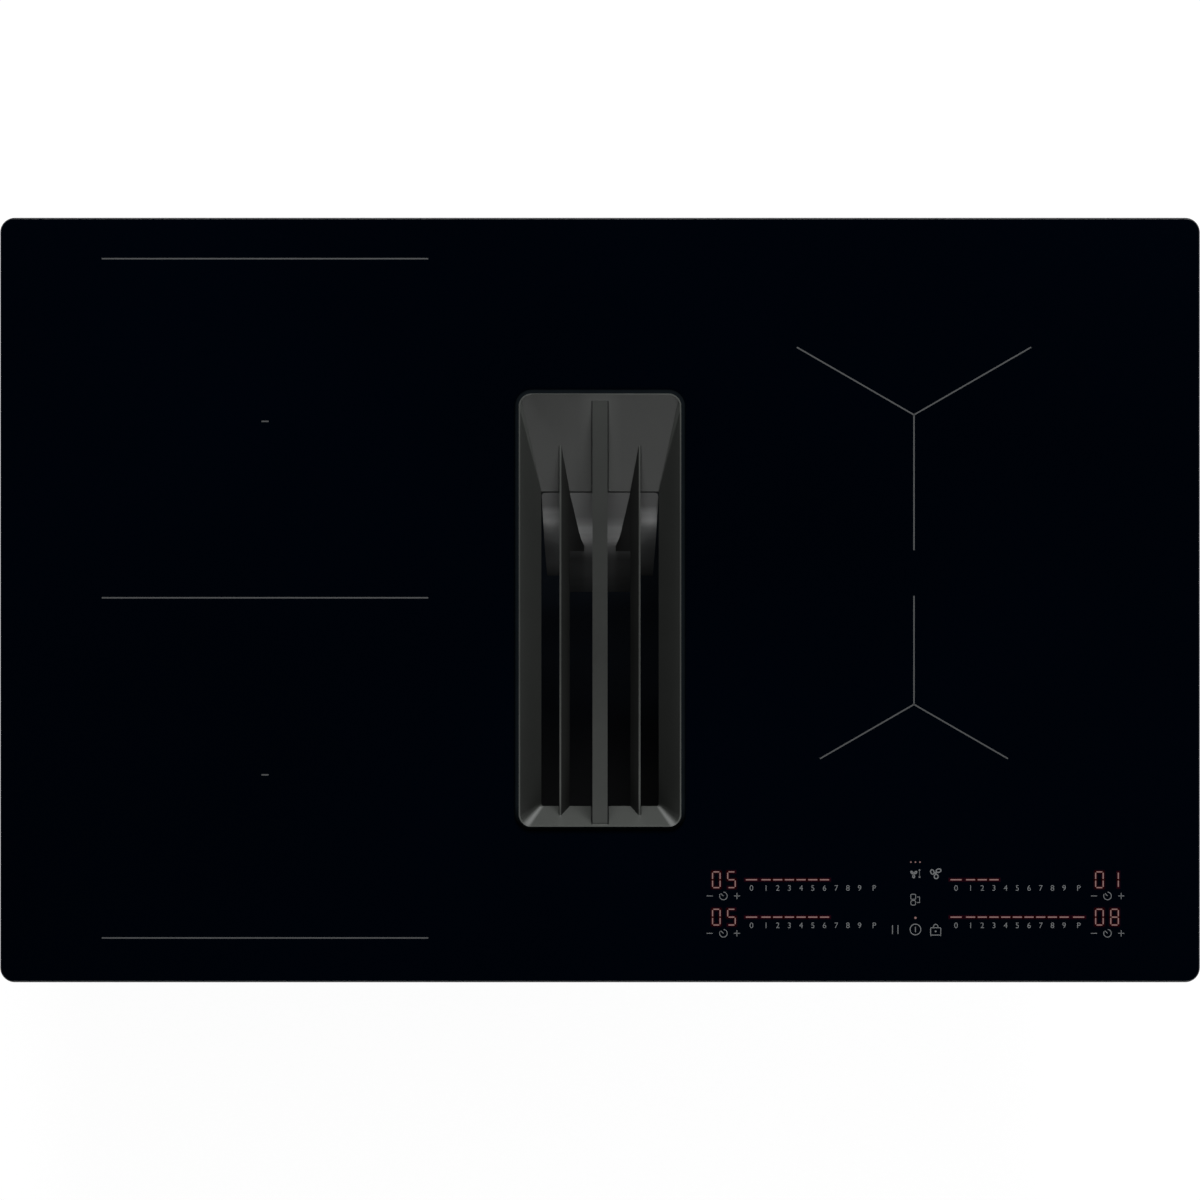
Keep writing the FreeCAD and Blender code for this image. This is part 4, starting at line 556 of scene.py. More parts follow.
def guide_plastic(finish):
    """The air guide's smooth plastic with painted light and shade: a painted highlight round its bend,
    painted shade on its fins, on the tongue's sides and down in the shaft.
    """
    material, tree, shader = new_material("guide_plastic")
    place = object_coordinates(tree)
    across, along, _ = parts_of(tree, place)
    facing_x, _, facing_z = facing(tree)
    aside = calculated(tree, "ABSOLUTE", across)
    # Painted light on the tongue's left side, and painted light and shade along the lobes and the tongue.
    left = ranged(tree, across, 1.6, 1.05, -8.0 * MM, 4.0 * MM)
    left = ranged(tree, along, 1.0, left, 40.0 * MM, 46.0 * MM)
    tongue = calculated(tree, "MULTIPLY", stepped(tree, along, TONGUE_TONES), left)
    beside = ranged(tree, aside, 1.0, stepped(tree, along, TONGUE_SIDE_TONES), *TONGUE_SIDE)
    tongue = calculated(tree, "MULTIPLY", tongue, beside)
    tone = ranged(tree, aside, tongue, stepped(tree, along, LOBE_TONES), *LOBE_START)
    tone = calculated(tree, "MULTIPLY", tone, ranged(tree, facing_z, BEND_HIGHLIGHT_TONE, 1.0, *GUIDE_UP))
    tone = ranged(tree, calculated(tree, "ABSOLUTE", facing_x), tone, FIN_SHADE_TONE, *GUIDE_SIDE)
    colour = varied(tree, noise(tree, place, 9.0, 4.0), finish.guide, 0.06)
    feed(tree, shader, {
        "Base Color": brightened(tree, colour, tone),
        "Roughness": ranged(tree, noise(tree, place, 60.0), 0.38, 0.46),
        # The shine follows the painted tone, so the painted shade also dims the reflections.
        "Specular IOR Level": ranged(tree, tone, 0.0, 0.5, 0.0, 1.0),
    })
    bump(tree, shader, noise(tree, place, 2200.0, 2.0), 0.01 * MM, 0.5)
    return material


def basket_plastic(finish):
    """The filter basket's dark plastic; its floor carries painted shade, darker near the front, where more
    light falls on it.
    """
    material, tree, shader = new_material("basket_plastic")
    place = object_coordinates(tree)
    _, along, height = parts_of(tree, place)
    floor = falling(tree, height, *BASKET_FLOOR)
    # Painted light and shade along the floor.
    tone = mixed(tree, floor, BASKET_SIDE_TONE, stepped(tree, along, BASKET_TONES))
    colour = varied(tree, noise(tree, place, 9.0, 4.0), finish.basket, 0.1)
    feed(tree, shader, {
        "Base Color": brightened(tree, colour, tone),
        "Roughness": ranged(tree, noise(tree, place, 60.0), 0.50, 0.60),
    })
    bump(tree, shader, noise(tree, place, 1400.0, 2.0), 0.02 * MM, 0.6)
    return material


def moulded_plastic(name, colour, roughness, grain=1400.0, depth=0.02 * MM):
    """Moulded plastic with a spark-eroded grain and slight flow marks."""
    material, tree, shader = new_material(name)
    place = object_coordinates(tree)
    feed(tree, shader, {
        "Base Color": varied(tree, noise(tree, place, 9.0, 4.0), colour, 0.12),
        "Roughness": about(tree, noise(tree, place, 60.0), roughness, 0.1),
    })
    bump(tree, shader, noise(tree, place, grain, 2.0), depth, 0.6)
    return material


def galvanised_sheet():
    """Zinc-coated sheet with its crystal spangle and rolled grain."""
    material, tree, shader = new_material("galvanised_sheet")
    place = object_coordinates(tree)
    crystals = {"Vector": place, "Scale": 120.0, "Randomness": 1.0}
    spangle = add_node(tree, "ShaderNodeTexVoronoi", crystals, feature="F1")
    split = add_node(tree, "ShaderNodeSeparateColor", {"Color": spangle["Color"]})
    feed(tree, shader, {
        "Base Color": two_colours(tree, split["Red"], (0.40, 0.42, 0.44), (0.46, 0.48, 0.50)),
        "Metallic": 1.0,
        "Roughness": ranged(tree, split["Green"], 0.37, 0.47),
    })
    grain = noise(tree, stretched(tree, place, (1.0, 12.0, 12.0)), 90.0)
    bump(tree, shader, grain, 0.02 * MM, 0.35)
    return material


def grained(name, colours, grain, roughness, relief=None, metallic=0.0, stretch=(1.0, 1.0, 1.0)):
    """A finish whose colours, roughness and relief all follow one grain, given by its scale and detail."""
    material, tree, shader = new_material(name)
    grit = noise(tree, stretched(tree, object_coordinates(tree), stretch), *grain)
    feed(tree, shader, {
        "Base Color": two_colours(tree, grit, *colours),
        "Metallic": metallic,
        "Roughness": ranged(tree, grit, *roughness),
    })
    if relief:
        bump(tree, shader, grit, *relief)
    return material


def bare_metal(name, colour, roughness, stretch=(1.0, 30.0, 30.0)):
    """Rolled or drawn metal with a fine grain along one way."""
    limits = (roughness * 0.85, roughness * 1.15)
    return grained(name, both_ways(colour, 0.1), (160.0, 4.0), limits, (0.01 * MM, 0.4), 1.0, stretch)


def soft_rubber(name, colour):
    """Matt rubber or foam with open pores."""
    return grained(name, both_ways(colour, 0.2), (1800.0, 3.0), (0.78, 0.95), (0.05 * MM, 0.8))


def wound_copper():
    """Varnished copper strand laid in turns."""
    copper = ((0.34, 0.13, 0.055), (0.60, 0.27, 0.12))
    return grained("wound_copper", copper, (1500.0, 3.0), (0.3, 0.5), (0.1 * MM, 0.7), 0.85)


def printed_enamel(name, grey):
    """The grey ceramic print on the glass, which has no relief."""
    return grained(name, both_ways(grey, 0.08), (2200.0, 2.0), (0.5, 0.62))


def lit_segment(finish):
    """A lit red segment seen through the glass."""
    material, tree, shader = new_material("lit_segment")
    grain = noise(tree, object_coordinates(tree), 700.0, 1.0)
    feed(tree, shader, {
        "Emission Color": varied(tree, grain, finish.lit_red, 0.08),
        "Emission Strength": 0.9,
        "Base Color": (0.02, 0.001, 0.001, 1),
        "Roughness": 0.3,
    })
    return material


def segment_glow(finish):
    """The dim red halo round the lit segments, strong inside and gone at its rim."""
    material, tree, shader = new_material("segment_glow")
    share = add_node(tree, "ShaderNodeAttribute", attribute_name="glow_share")["Fac"]
    feed(tree, shader, {
        "Emission Color": two_colours(tree, share, shaded(finish.glass, 0.5), GLOW_COLOUR, 0.0, 1.0),
        "Emission Strength": 1.0,
        "Base Color": (*finish.glass, 1),
        "Roughness": finish.glass_roughness,
        "IOR": GLASS_IOR,
    })
    return material


# Mesh helpers

def finished(name, mesh, material, body):
    """An object for a finished mesh, on its body and with its material in its one slot."""
    piece = bpy.data.objects.new(name, mesh)
    bpy.context.scene.collection.objects.link(piece)
    mesh.materials.clear()
    mesh.materials.append(material)
    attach(piece, body)
    return piece


def roomy(edge, width):
    """Whether all the edges that meet this one leave room for the rounding."""
    meeting = [other for corner in edge.verts for other in corner.link_edges]
    return min(other.calc_length() for other in meeting) > ROOM * width


def softened(node, name, width, material, segments=2, crease=25.0, clear=0.0, lowest=CAD_LOW.z):
    """A copy that stands for a node, with its edges rounded but for those near the middle or low down."""
    mesh = frame["nodes"][node].data.copy()
    mesh.name = name
    shape = bmesh.new()
    shape.from_mesh(mesh)
    bmesh.ops.remove_doubles(shape, verts=shape.verts, dist=0.002 * MM)
    bmesh.ops.dissolve_limit(
        shape, angle_limit=math.radians(0.6), verts=shape.verts, edges=shape.edges,
        use_dissolve_boundaries=False,
    )
    sharp = []
    for edge in shape.edges:
        creased = len(edge.link_faces) == 2 and edge.calc_face_angle() > math.radians(crease)
        aside = min(abs(corner.co.x) for corner in edge.verts) >= clear
        high_up = max(corner.co.z for corner in edge.verts) >= lowest
        if creased and aside and high_up and roomy(edge, width):
            sharp.append(edge)
    bmesh.ops.bevel(
        shape, geom=sharp, offset=width, offset_type="OFFSET", affect="EDGES", segments=segments,
        profile=0.5, clamp_overlap=True, material=-1,
    )
    for face in shape.faces:
        face.smooth = True
    shape.to_mesh(mesh)
    shape.free()
    mesh.set_sharp_from_angle(angle=math.radians(40))
    piece = finished(name, mesh, material, BODIES[node])
    weighted = piece.modifiers.new("weighted", "WEIGHTED_NORMAL")
    weighted.keep_sharp = True
    weighted.weight = 90
    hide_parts(node)
    return piece


def dress(material, *nodes):
    """A better finish on nodes whose shape is right."""
    for node in nodes:
        slots = frame["nodes"][node].data.materials
        slots.clear()
        slots.append(material)


def add_band(shape, points, width, closed=False, levels=PRINT_LEVELS):
    """A thin flat band along a chain of points, mitred at its corners."""
    low, high = levels
    chain = [Vector(place) for place in points]
    count = len(chain)
    rails = []
    for index, here in enumerate(chain):
        ways = []
        if closed or index > 0:
            ways.append((here - chain[index - 1]).normalized())
        if closed or index < count - 1:
            ways.append((chain[(index + 1) % count] - here).normalized())
        along = sum(ways, Vector((0, 0))).normalized()
        across = Vector((-along.y, along.x)) * (width / 2 / along.dot(ways[0]))
        rails.append([shape.verts.new((*(here + side * across), low)) for side in (-1, 1)])
    faces = []
    for index in range(count if closed else count - 1):
        first = rails[index]
        second = rails[(index + 1) % count]
        faces.append(shape.faces.new((first[0], second[0], second[1], first[1])))
    raised = bmesh.ops.extrude_face_region(shape, geom=faces, use_keep_orig=True)["geom"]
    corners = [item for item in raised if isinstance(item, bmesh.types.BMVert)]
    bmesh.ops.translate(shape, verts=corners, vec=(0, 0, high - low))


def oval_points(centre, radius_x, radius_y, start=0.0, sweep=360.0, turn=0.0):
    """Points round an oval, from one angle through a sweep, the oval itself turned, in degrees."""
    steps = max(6, int(sweep / 12))
    last = steps if sweep >= 360 else steps + 1
    lean = Matrix.Rotation(math.radians(turn), 2)
    points = []
    for index in range(last):
        angle = math.radians(start + sweep * index / steps)
        offset = lean @ Vector((radius_x * math.cos(angle), radius_y * math.sin(angle)))
        points.append((centre[0] + offset.x, centre[1] + offset.y))
    return points


def square_points(x, y, half_x, half_y, corner):
    """Points round a small upright rectangle with round corners."""
    points = []
    for side_x, side_y, start in ((1, 1, 0), (-1, 1, 90), (-1, -1, 180), (1, -1, 270)):
        bend = (x + side_x * (half_x - corner), y + side_y * (half_y - corner))
        for part in (0, 30, 60, 90):
            angle = math.radians(start + part)
            points.append((bend[0] + corner * math.cos(angle), bend[1] + corner * math.sin(angle)))
    return points


def add_disc(shape, centre, radius, levels=PRINT_LEVELS):
    """A thin flat disc."""
    low, high = levels
    bmesh.ops.create_cone(
        shape, cap_ends=True, segments=20, radius1=radius, radius2=radius, depth=high - low,
        matrix=Matrix.Translation((centre[0], centre[1], (low + high) / 2)),
    )


def add_text(shape, text, centre, height):
    """A printed number or sign in the built-in typeface, made a mesh and set down at centre."""
    low, high = PRINT_LEVELS
    curve = bpy.data.curves.new("sign", "FONT")
    curve.body = text
    curve.align_x = "CENTER"
    curve.align_y = "CENTER"
    curve.size = height / CAPITAL
    curve.offset = -THINNING
    curve.extrude = (high - low) / 2
    holder = bpy.data.objects.new("sign", curve)
    bpy.context.scene.collection.objects.link(holder)
    bpy.context.view_layer.update()
    letters = bpy.data.meshes.new_from_object(holder.evaluated_get(bpy.context.evaluated_depsgraph_get()))
    letters.transform(Matrix.Translation((centre[0], centre[1], (low + high) / 2)))
    shape.from_mesh(letters)
    bpy.data.objects.remove(holder)
    bpy.data.curves.remove(curve)
    bpy.data.meshes.remove(letters)


def flat_piece(name, shape, material):
    """A finished flat piece on the glass from a filled bmesh."""
    bmesh.ops.recalc_face_normals(shape, faces=shape.faces)
    mesh = bpy.data.meshes.new(name)
    shape.to_mesh(mesh)
    shape.free()
    return finished(name, mesh, material, "root")


# Zone marks

def zone_lines(marks):
    """The three long lines and two dashes of the left zones."""
    shape = bmesh.new()
    x = middle("coil_rear_left").x
    bars = (GLASS_HIGH.y - marks.rear_bar, marks.middle_bar, GLASS_LOW.y + marks.front_bar)
    dashes = (middle("coil_rear_left").y, middle("coil_front_left").y)
    for places, length in ((bars, marks.bar_length), (dashes, marks.dash)):
        for y in places:
            add_band(shape, ((x - length / 2, y), (x + length / 2, y)), marks.line)
    return shape


def star_mark(node, arm, turn, width):
    """Three arms from a zone's centre, 120 degrees apart."""
    shape = bmesh.new()
    centre = middle(node)
    for index in range(3):
        angle = math.radians(turn + 120 * index)
        tip = (centre.x + arm * math.cos(angle), centre.y + arm * math.sin(angle))
        add_band(shape, ((centre.x, centre.y), tip), width)
    return shape


# Touch control

def control_point(x, y):
    """A place on the glass, from the touch control's middle."""
    controls = bpy.context.scene.cooktop_controls
    return CONTROL_MIDDLE.x + controls.shift_x + x, CONTROL_MIDDLE.y + controls.shift_y + y


def row_levels(controls):
    """The places of the rear row and of the front row of lit bars."""
    return controls.row_pitch / 2, -controls.row_pitch / 2


def scale_places(controls):
    """The eleven places of a scale, from its first sign."""
    places = [0.0, controls.end_step]
    for _ in range(8):
        places.append(places[-1] + controls.step)
    places.append(places[-1] + controls.end_step)
    return places


def scale_numbers(controls):
    """The scale signs under both rows of both sliders."""
    shape = bmesh.new()
    for row in row_levels(controls):
        for start in (controls.scale_start, controls.scale_start + controls.scale_shift):
            for sign, place in zip("0123456789P", scale_places(controls)):
                centre = control_point(start + place, row - controls.number_drop)
                add_text(shape, sign, centre, controls.number_height)
    return shape


def timer_signs(controls):
    """A minus, a dial and a plus under each pair of digits; the dial's hand points at its gap."""
    shape = bmesh.new()
    stroke = controls.stroke * FINE
    near, dial, far = TIMER_PLACES
    for row in row_levels(controls):
        y = row - controls.timer_drop
        for minus, clock, plus in ((-far, -dial, -near), (near, dial, far)):
            for sign in (minus, plus):
                x, level = control_point(sign, y)
                add_band(shape, ((x - TIMER_REACH, level), (x + TIMER_REACH, level)), stroke)
            x, level = control_point(plus, y)
            add_band(shape, ((x, level - TIMER_REACH), (x, level + TIMER_REACH)), stroke)
            centre = control_point(clock, y)
            add_band(shape, oval_points(centre, DIAL_RADIUS, DIAL_RADIUS, 148, 300), stroke)
            tip = (centre[0] - DIAL_RADIUS * HAND, centre[1] + DIAL_RADIUS * HAND)
            add_band(shape, (centre, tip), stroke)
    return shape


def middle_signs(controls):
    """Breeze, fan, bridge, pause, power and lock signs between the sliders, drawn in millimetres."""
    stroke = controls.stroke
    bold = stroke * BOLD
    fine = stroke * FINE
    shape = bmesh.new()

    def line(points, width=stroke, closed=False):
        add_band(shape, [control_point(x * MM, y * MM) for x, y in points], width, closed)

    def oval(x, y, radius_x, radius_y, width=stroke, turn=0.0, sweep=360.0):
        line(oval_points((x, y), radius_x, radius_y, 0.0, sweep, turn), width, sweep >= 360)

    def dot(x, y, radius):
        add_disc(shape, control_point(x * MM, y * MM), radius * MM)

    oval(-2.3, 17.6, 1.05, 0.55, bold, 135)
    oval(0.1, 17.6, 1.05, 0.55, bold, 45)
    oval(-1.2, 15.0, 0.65, 0.95, bold)
    dot(-1.2, 16.4, 0.55)
    dot(2.75, 19.2, 0.62)
    dot(2.75, 14.6, 0.62)
    line(((2.75, 19.2), (2.75, 14.6)), stroke * 0.45)
    oval(11.5, 18.0, 1.15, 1.55, bold, 25)
    oval(15.7, 18.9, 1.70, 1.15, bold, 15)
    oval(14.1, 14.9, 1.35, 1.45, bold)
    dot(13.8, 17.3, 0.75)
    line(square_points(-1.5, 1.15, 1.65, 1.70, 0.5), fine, True)
    line(square_points(-1.5, -2.95, 1.65, 1.60, 1.2), fine, True)
    line(((1.1, 1.0), (2.8, 1.0), (2.8, -2.8), (1.1, -2.8)), fine)
    for x in (-15.6, -11.9):
        line(((x, -24.1), (x, -18.2)))
    oval(0.0, -21.1, 3.65, 3.65)
    line(((0.0, -22.9), (0.0, -19.3)))
    line(square_points(13.75, -22.4, 3.45, 2.50, 0.7), stroke, True)
    for x in (10.4, 17.1):
        line(((x, -25.5), (x, -24.6)))
    oval(13.75, -19.9, 1.65, 2.35, stroke, 0.0, 180.0)
    dot(13.75, -22.4, 0.6)
    return shape


# Lit signs

SEGMENTS = {"0": "abcdef", "1": "bc", "5": "acdfg", "8": "abcdefg"}


def digit_strokes(digit, x, y, controls):
    """The lit strokes of a seven-segment digit, each as its two ends."""
    half_x = controls.digit_width / 2
    half_y = controls.digit_height / 2
    gap = controls.digit_stroke * 0.75
    lines = {
        "a": ((-half_x + gap, half_y), (half_x - gap, half_y)),
        "b": ((half_x, gap), (half_x, half_y - gap)),
        "c": ((half_x, -half_y + gap), (half_x, -gap)),
        "d": ((-half_x + gap, -half_y), (half_x - gap, -half_y)),
        "e": ((-half_x, -half_y + gap), (-half_x, -gap)),
        "f": ((-half_x, gap), (-half_x, half_y - gap)),
        "g": ((-half_x + gap, 0), (half_x - gap, 0)),
    }
    lit = [lines[letter] for letter in SEGMENTS[digit]]
    return [[control_point(x + across, y + along) for across, along in ends] for ends in lit]


def lit_strokes(controls):
    """Every lit digit stroke and bar with its width: four digits and two scales of bars in each row."""
    strokes = []
    upper, lower = row_levels(controls)
    digit_places = (-controls.digit_far, -controls.digit_near, controls.digit_near, controls.digit_far)
    for row, digits in ((upper, "0501"), (lower, "0508")):
        for digit, x in zip(digits, digit_places):
            for start, end in digit_strokes(digit, x, row, controls):
                strokes.append((start, end, controls.digit_stroke))
    places = scale_places(controls)
    starts = (controls.scale_start, controls.scale_start + controls.scale_shift)
    for row, counts in ((upper, (7, 4)), (lower, (7, 11))):
        for start, count in zip(starts, counts):
            for index in range(count):
                ended = index in (0, len(places) - 1)
                half = (controls.end_bar_length if ended else controls.bar_length) / 2
                x = start + places[index]
                ends = control_point(x - half, row), control_point(x + half, row)
                strokes.append((*ends, controls.bar_width))
    return strokes


def lit_shape(strokes):
    """All the lit strokes, and the dots above and among the middle signs."""
    shape = bmesh.new()
    for start, end, width in strokes:
        add_band(shape, (start, end), width, levels=LIGHT_LEVELS)
    for x, y, radius in ((-3.1, 24.7, 0.5), (0.0, 24.7, 0.5), (3.1, 24.7, 0.5), (0.0, -13.2, 0.75)):
        add_disc(shape, control_point(x * MM, y * MM), radius * MM, LIGHT_LEVELS)
    return shape


def glow_piece(strokes, reach, material):
    """A soft halo round every lit stroke: a flat strip whose rim has no glow."""
    shape = bmesh.new()
    layer = shape.verts.layers.float.new("glow_share")
    for start, end, width in strokes:
        along = Vector((end[0] - start[0], end[1] - start[1]))
        centre = Vector(((start[0] + end[0]) / 2, (start[1] + end[1]) / 2, GLOW_LEVEL))
        turn = Matrix.Rotation(math.atan2(along.y, along.x), 4, "Z")
        size = Matrix.Diagonal((along.length + width, width, 1, 1))
        made = bmesh.ops.create_grid(
            shape, x_segments=1, y_segments=1, size=0.5, matrix=Matrix.Translation(centre) @ turn @ size
        )
        for corner in made["verts"]:
            corner[layer] = 1.0
        face = made["verts"][0].link_faces[0]
        rim = bmesh.ops.extrude_face_region(shape, geom=list(face.edges))
        for corner in [item for item in rim["geom"] if isinstance(item, bmesh.types.BMVert)]:
            local = turn.inverted() @ (corner.co - centre)
            corner.co += turn @ Vector((math.copysign(reach, local.x), math.copysign(reach, local.y), 0))
            corner[layer] = 0.0
    mesh = bpy.data.meshes.new("display_glow")
    shape.to_mesh(mesh)
    shape.free()
    return finished("display_glow", mesh, material, "root")


# Operators

class COOKTOP_OT_glass(bpy.types.Operator):
    """Finish the glass panel, the seals and the gaskets"""
    bl_idname = "cooktop.glass"
    bl_label = "Glass"

    def execute(self, context):
        softened("glass_panel", "glass_plate", 0.25 * MM, ceramic_glass(context.scene.cooktop_finish))
        dress(soft_rubber("seal_foam", (0.02, 0.02, 0.021)), "worktop_seal", "shaft_seal")
        dress(
            soft_rubber("silicone", (0.03, 0.03, 0.032)), "glass_adhesive", "shaft_gasket", "outlet_gasket",
            "motor_grommets", "coil_pads",
        )
        return {"FINISHED"}


def outside_rim(place):
    """Whether a place lies outside the rounded outline of the grille's rim."""
    centre = (GRILLE_LOW + GRILLE_HIGH) / 2
    across = max(0, abs(place.x) - (GRILLE_HIGH.x - SHOULDER - RIM_CORNER))
    along = max(0, abs(place.y - centre.y) - (GRILLE_HIGH.y - centre.y - SHOULDER - RIM_CORNER))
    return math.hypot(across, along) > RIM_CORNER


class COOKTOP_OT_grille(bpy.types.Operator):
    """Finish the inlet grille with rounded edges and a matt coat that carries painted light and shade"""
    bl_idname = "cooktop.grille"
    bl_label = "Inlet grille"

    def execute(self, context):
        finish = context.scene.cooktop_finish
        grille = softened(
            "inlet_grille", "grille_body", 0.25 * MM, matt_coat(finish), crease=22.0, clear=8.0 * MM,
            lowest=-13.0 * MM,
        )
        grille.data.materials.append(black_shoulder(finish))
        grille.data.materials.append(blade_painted_shade(finish))
        for face in grille.data.polygons:
            if outside_rim(face.center):
                face.material_index = 1
            # The steep sides of the rib and the blades take the painted-shade copy of the coat.
            elif abs(face.center.x) < BLADE_CREASE[1] and abs(face.normal.x) > 0.6:
                face.material_index = 2
        return {"FINISHED"}


class COOKTOP_OT_filter(bpy.types.Operator):
    """Finish the filter basket, its air guide and its meshes"""
    bl_idname = "cooktop.filter"
    bl_label = "Filter"

    def execute(self, context):
        finish = context.scene.cooktop_finish
        dress(guide_plastic(finish), "air_guide")
        softened("filter_basket", "basket_body", 0.45 * MM, basket_plastic(finish), crease=30.0)
        steel = bare_metal("mesh_steel", (0.30, 0.31, 0.32), 0.35, (30.0, 1.0, 30.0))
        dress(steel, "grease_mesh_left", "grease_mesh_right")
        return {"FINISHED"}


class COOKTOP_OT_zones(bpy.types.Operator):
    """Print the cooking zones' lines and centre marks on the glass"""
    bl_idname = "cooktop.zones"
    bl_label = "Zone marks"

    def execute(self, context):
        marks = context.scene.cooktop_marks
        enamel = printed_enamel("zone_enamel", context.scene.cooktop_finish.print_grey)
        flat_piece("zone_lines", zone_lines(marks), enamel)
        rear = star_mark("coil_rear_right", marks.rear_arm, 30, marks.line)
        flat_piece("rear_zone_mark", rear, enamel)
        front = star_mark("coil_front_right", marks.front_arm, 90, marks.line)
        flat_piece("front_zone_mark", front, enamel)
        return {"FINISHED"}


class COOKTOP_OT_signs(bpy.types.Operator):
    """Print the touch control's numbers and signs on the glass"""
    bl_idname = "cooktop.signs"
    bl_label = "Touch signs"

    def execute(self, context):
        controls = context.scene.cooktop_controls
        enamel = printed_enamel("sign_enamel", context.scene.cooktop_finish.sign_grey)
        flat_piece("scale_numbers", scale_numbers(controls), enamel)
        flat_piece("timer_signs", timer_signs(controls), enamel)
        flat_piece("middle_signs", middle_signs(controls), enamel)
        return {"FINISHED"}


class COOKTOP_OT_lights(bpy.types.Operator):
    """Light the digits, the bars and the dots"""
    bl_idname = "cooktop.lights"
    bl_label = "Lit displays"

    def execute(self, context):
        finish = context.scene.cooktop_finish
        controls = context.scene.cooktop_controls
        strokes = lit_strokes(controls)
        flat_piece("lit_displays", lit_shape(strokes), lit_segment(finish))
        glow_piece(strokes, controls.glow, segment_glow(finish))
        return {"FINISHED"}


class COOKTOP_OT_casing(bpy.types.Operator):
    """Finish the steel casing, its brackets, pillars and screws, the touch springs and the bearings"""
    bl_idname = "cooktop.casing"
    bl_label = "Casing"

    def execute(self, context):
        zinc = galvanised_sheet()
        softened("base_casing", "casing_pan", 0.30 * MM, zinc, crease=40.0)
        softened("side_brackets", "bracket_tabs", 0.25 * MM, zinc, crease=40.0)
        dress(zinc, "tray_pillars")
        plated = bare_metal("plated_steel", (0.52, 0.53, 0.54), 0.3)
        softened("casing_screws", "screw_bodies", 0.35 * MM, plated, 3, 40.0)
        dress(plated, "touch_springs", "motor_bearings")
        return {"FINISHED"}


class COOKTOP_OT_extractor(bpy.types.Operator):
    """Finish the plenum, the shaft, the blower, the outlet, the overflow tray and the motors"""
    bl_idname = "cooktop.extractor"
    bl_label = "Extractor"

    def execute(self, context):
        finish = context.scene.cooktop_finish
        box = moulded_plastic("plenum_plastic", finish.box_plastic, 0.5, 900.0, 0.04 * MM)
        dark = moulded_plastic("shaft_plastic", finish.dark_plastic, 0.5)
        softened("plenum", "plenum_tub", 0.8 * MM, box, 3, 35.0)
        softened("outlet_spigot", "spigot_body", 0.5 * MM, box, crease=35.0)
        softened("overflow_tray", "tray_body", 0.6 * MM, box, crease=35.0)
        softened("inlet_shaft", "shaft_body", 0.4 * MM, dark, crease=35.0)
        dress(box, "volute", "volute_cover", "impeller")
        motor = bare_metal("motor_steel", (0.32, 0.33, 0.34), 0.4)
        dress(motor, "motor_plate", "motor_housing", "motor_rotor", "motor_stator", "fan_motors")
        return {"FINISHED"}


class COOKTOP_OT_inside(bpy.types.Operator):
    """Finish the coils, the boards, the fans, the terminals and the cable gland"""
    bl_idname = "cooktop.inside"
    bl_label = "Inside"

    def execute(self, context):
        dress(wound_copper(), "coil_rear_left", "coil_front_left", "coil_rear_right", "coil_front_right")
        carrier = moulded_plastic("carrier_plastic", (0.55, 0.53, 0.48), 0.55)
        dress(carrier, "coil_carriers", "temperature_sensors")
        dress(moulded_plastic("mica_sheet", (0.46, 0.40, 0.30), 0.6, 300.0), "mica_sheets")
        dress(moulded_plastic("ferrite", (0.03, 0.03, 0.033), 0.5, 500.0), "ferrite_bars", "chokes")
        laminate = moulded_plastic("board_laminate", (0.012, 0.11, 0.045), 0.35, 400.0)
        dress(laminate, "power_board_left", "power_board_right", "touch_board")
        white = moulded_plastic("white_plastic", (0.62, 0.62, 0.60), 0.5)
        dress(white, "board_pegs", "touch_carrier", "terminal_box", "terminal_block")
        black = moulded_plastic("black_component", (0.012, 0.012, 0.013), 0.4)
        dress(black, "power_transistors", "capacitors", "fan_housing_left", "fan_housing_right")
        dress(black, "fan_rotor_left", "fan_rotor_right")
        dress(moulded_plastic("smoked_lens", (0.09, 0.004, 0.004), 0.2), "digit_displays", "light_bars")
        aluminium = bare_metal("tray_aluminium", (0.62, 0.63, 0.64), 0.4)
        dress(aluminium, "coil_tray", "heat_sink_left", "heat_sink_right")
        gland = moulded_plastic("gland_plastic", (0.02, 0.02, 0.021), 0.45)
        softened("cable_gland", "gland_body", 0.4 * MM, gland, crease=35.0)
        softened("gland_nut", "gland_nut_body", 0.5 * MM, gland, crease=35.0)
        return {"FINISHED"}


def seen_rays(tree):
    """One where a camera, glossy or transmission ray looks, else nought."""
    paths = add_node(tree, "ShaderNodeLightPath")
    seen = calculated(tree, "MAXIMUM", paths["Is Camera Ray"], paths["Is Glossy Ray"])
    return calculated(tree, "MAXIMUM", seen, paths["Is Transmission Ray"])


def floor_material(stage):
    """A pale floor that looks white and keeps a soft shadow."""
    material = bpy.data.materials.new("pale_floor")
    material.use_nodes = True
    tree = material.node_tree
    tree.nodes.clear()
    grey = (stage.floor_grey, stage.floor_grey, stage.floor_grey, 1)
    scatter = add_node(tree, "ShaderNodeBsdfDiffuse", {"Color": grey})["BSDF"]
    strength = calculated(tree, "MULTIPLY", seen_rays(tree), stage.floor_glow)
    glow = add_node(tree, "ShaderNodeEmission", {"Strength": strength})["Emission"]
    total = add_node(tree, "ShaderNodeAddShader", {0: scatter, 1: glow})["Shader"]
    add_node(tree, "ShaderNodeOutputMaterial", {"Surface": total})
    return material


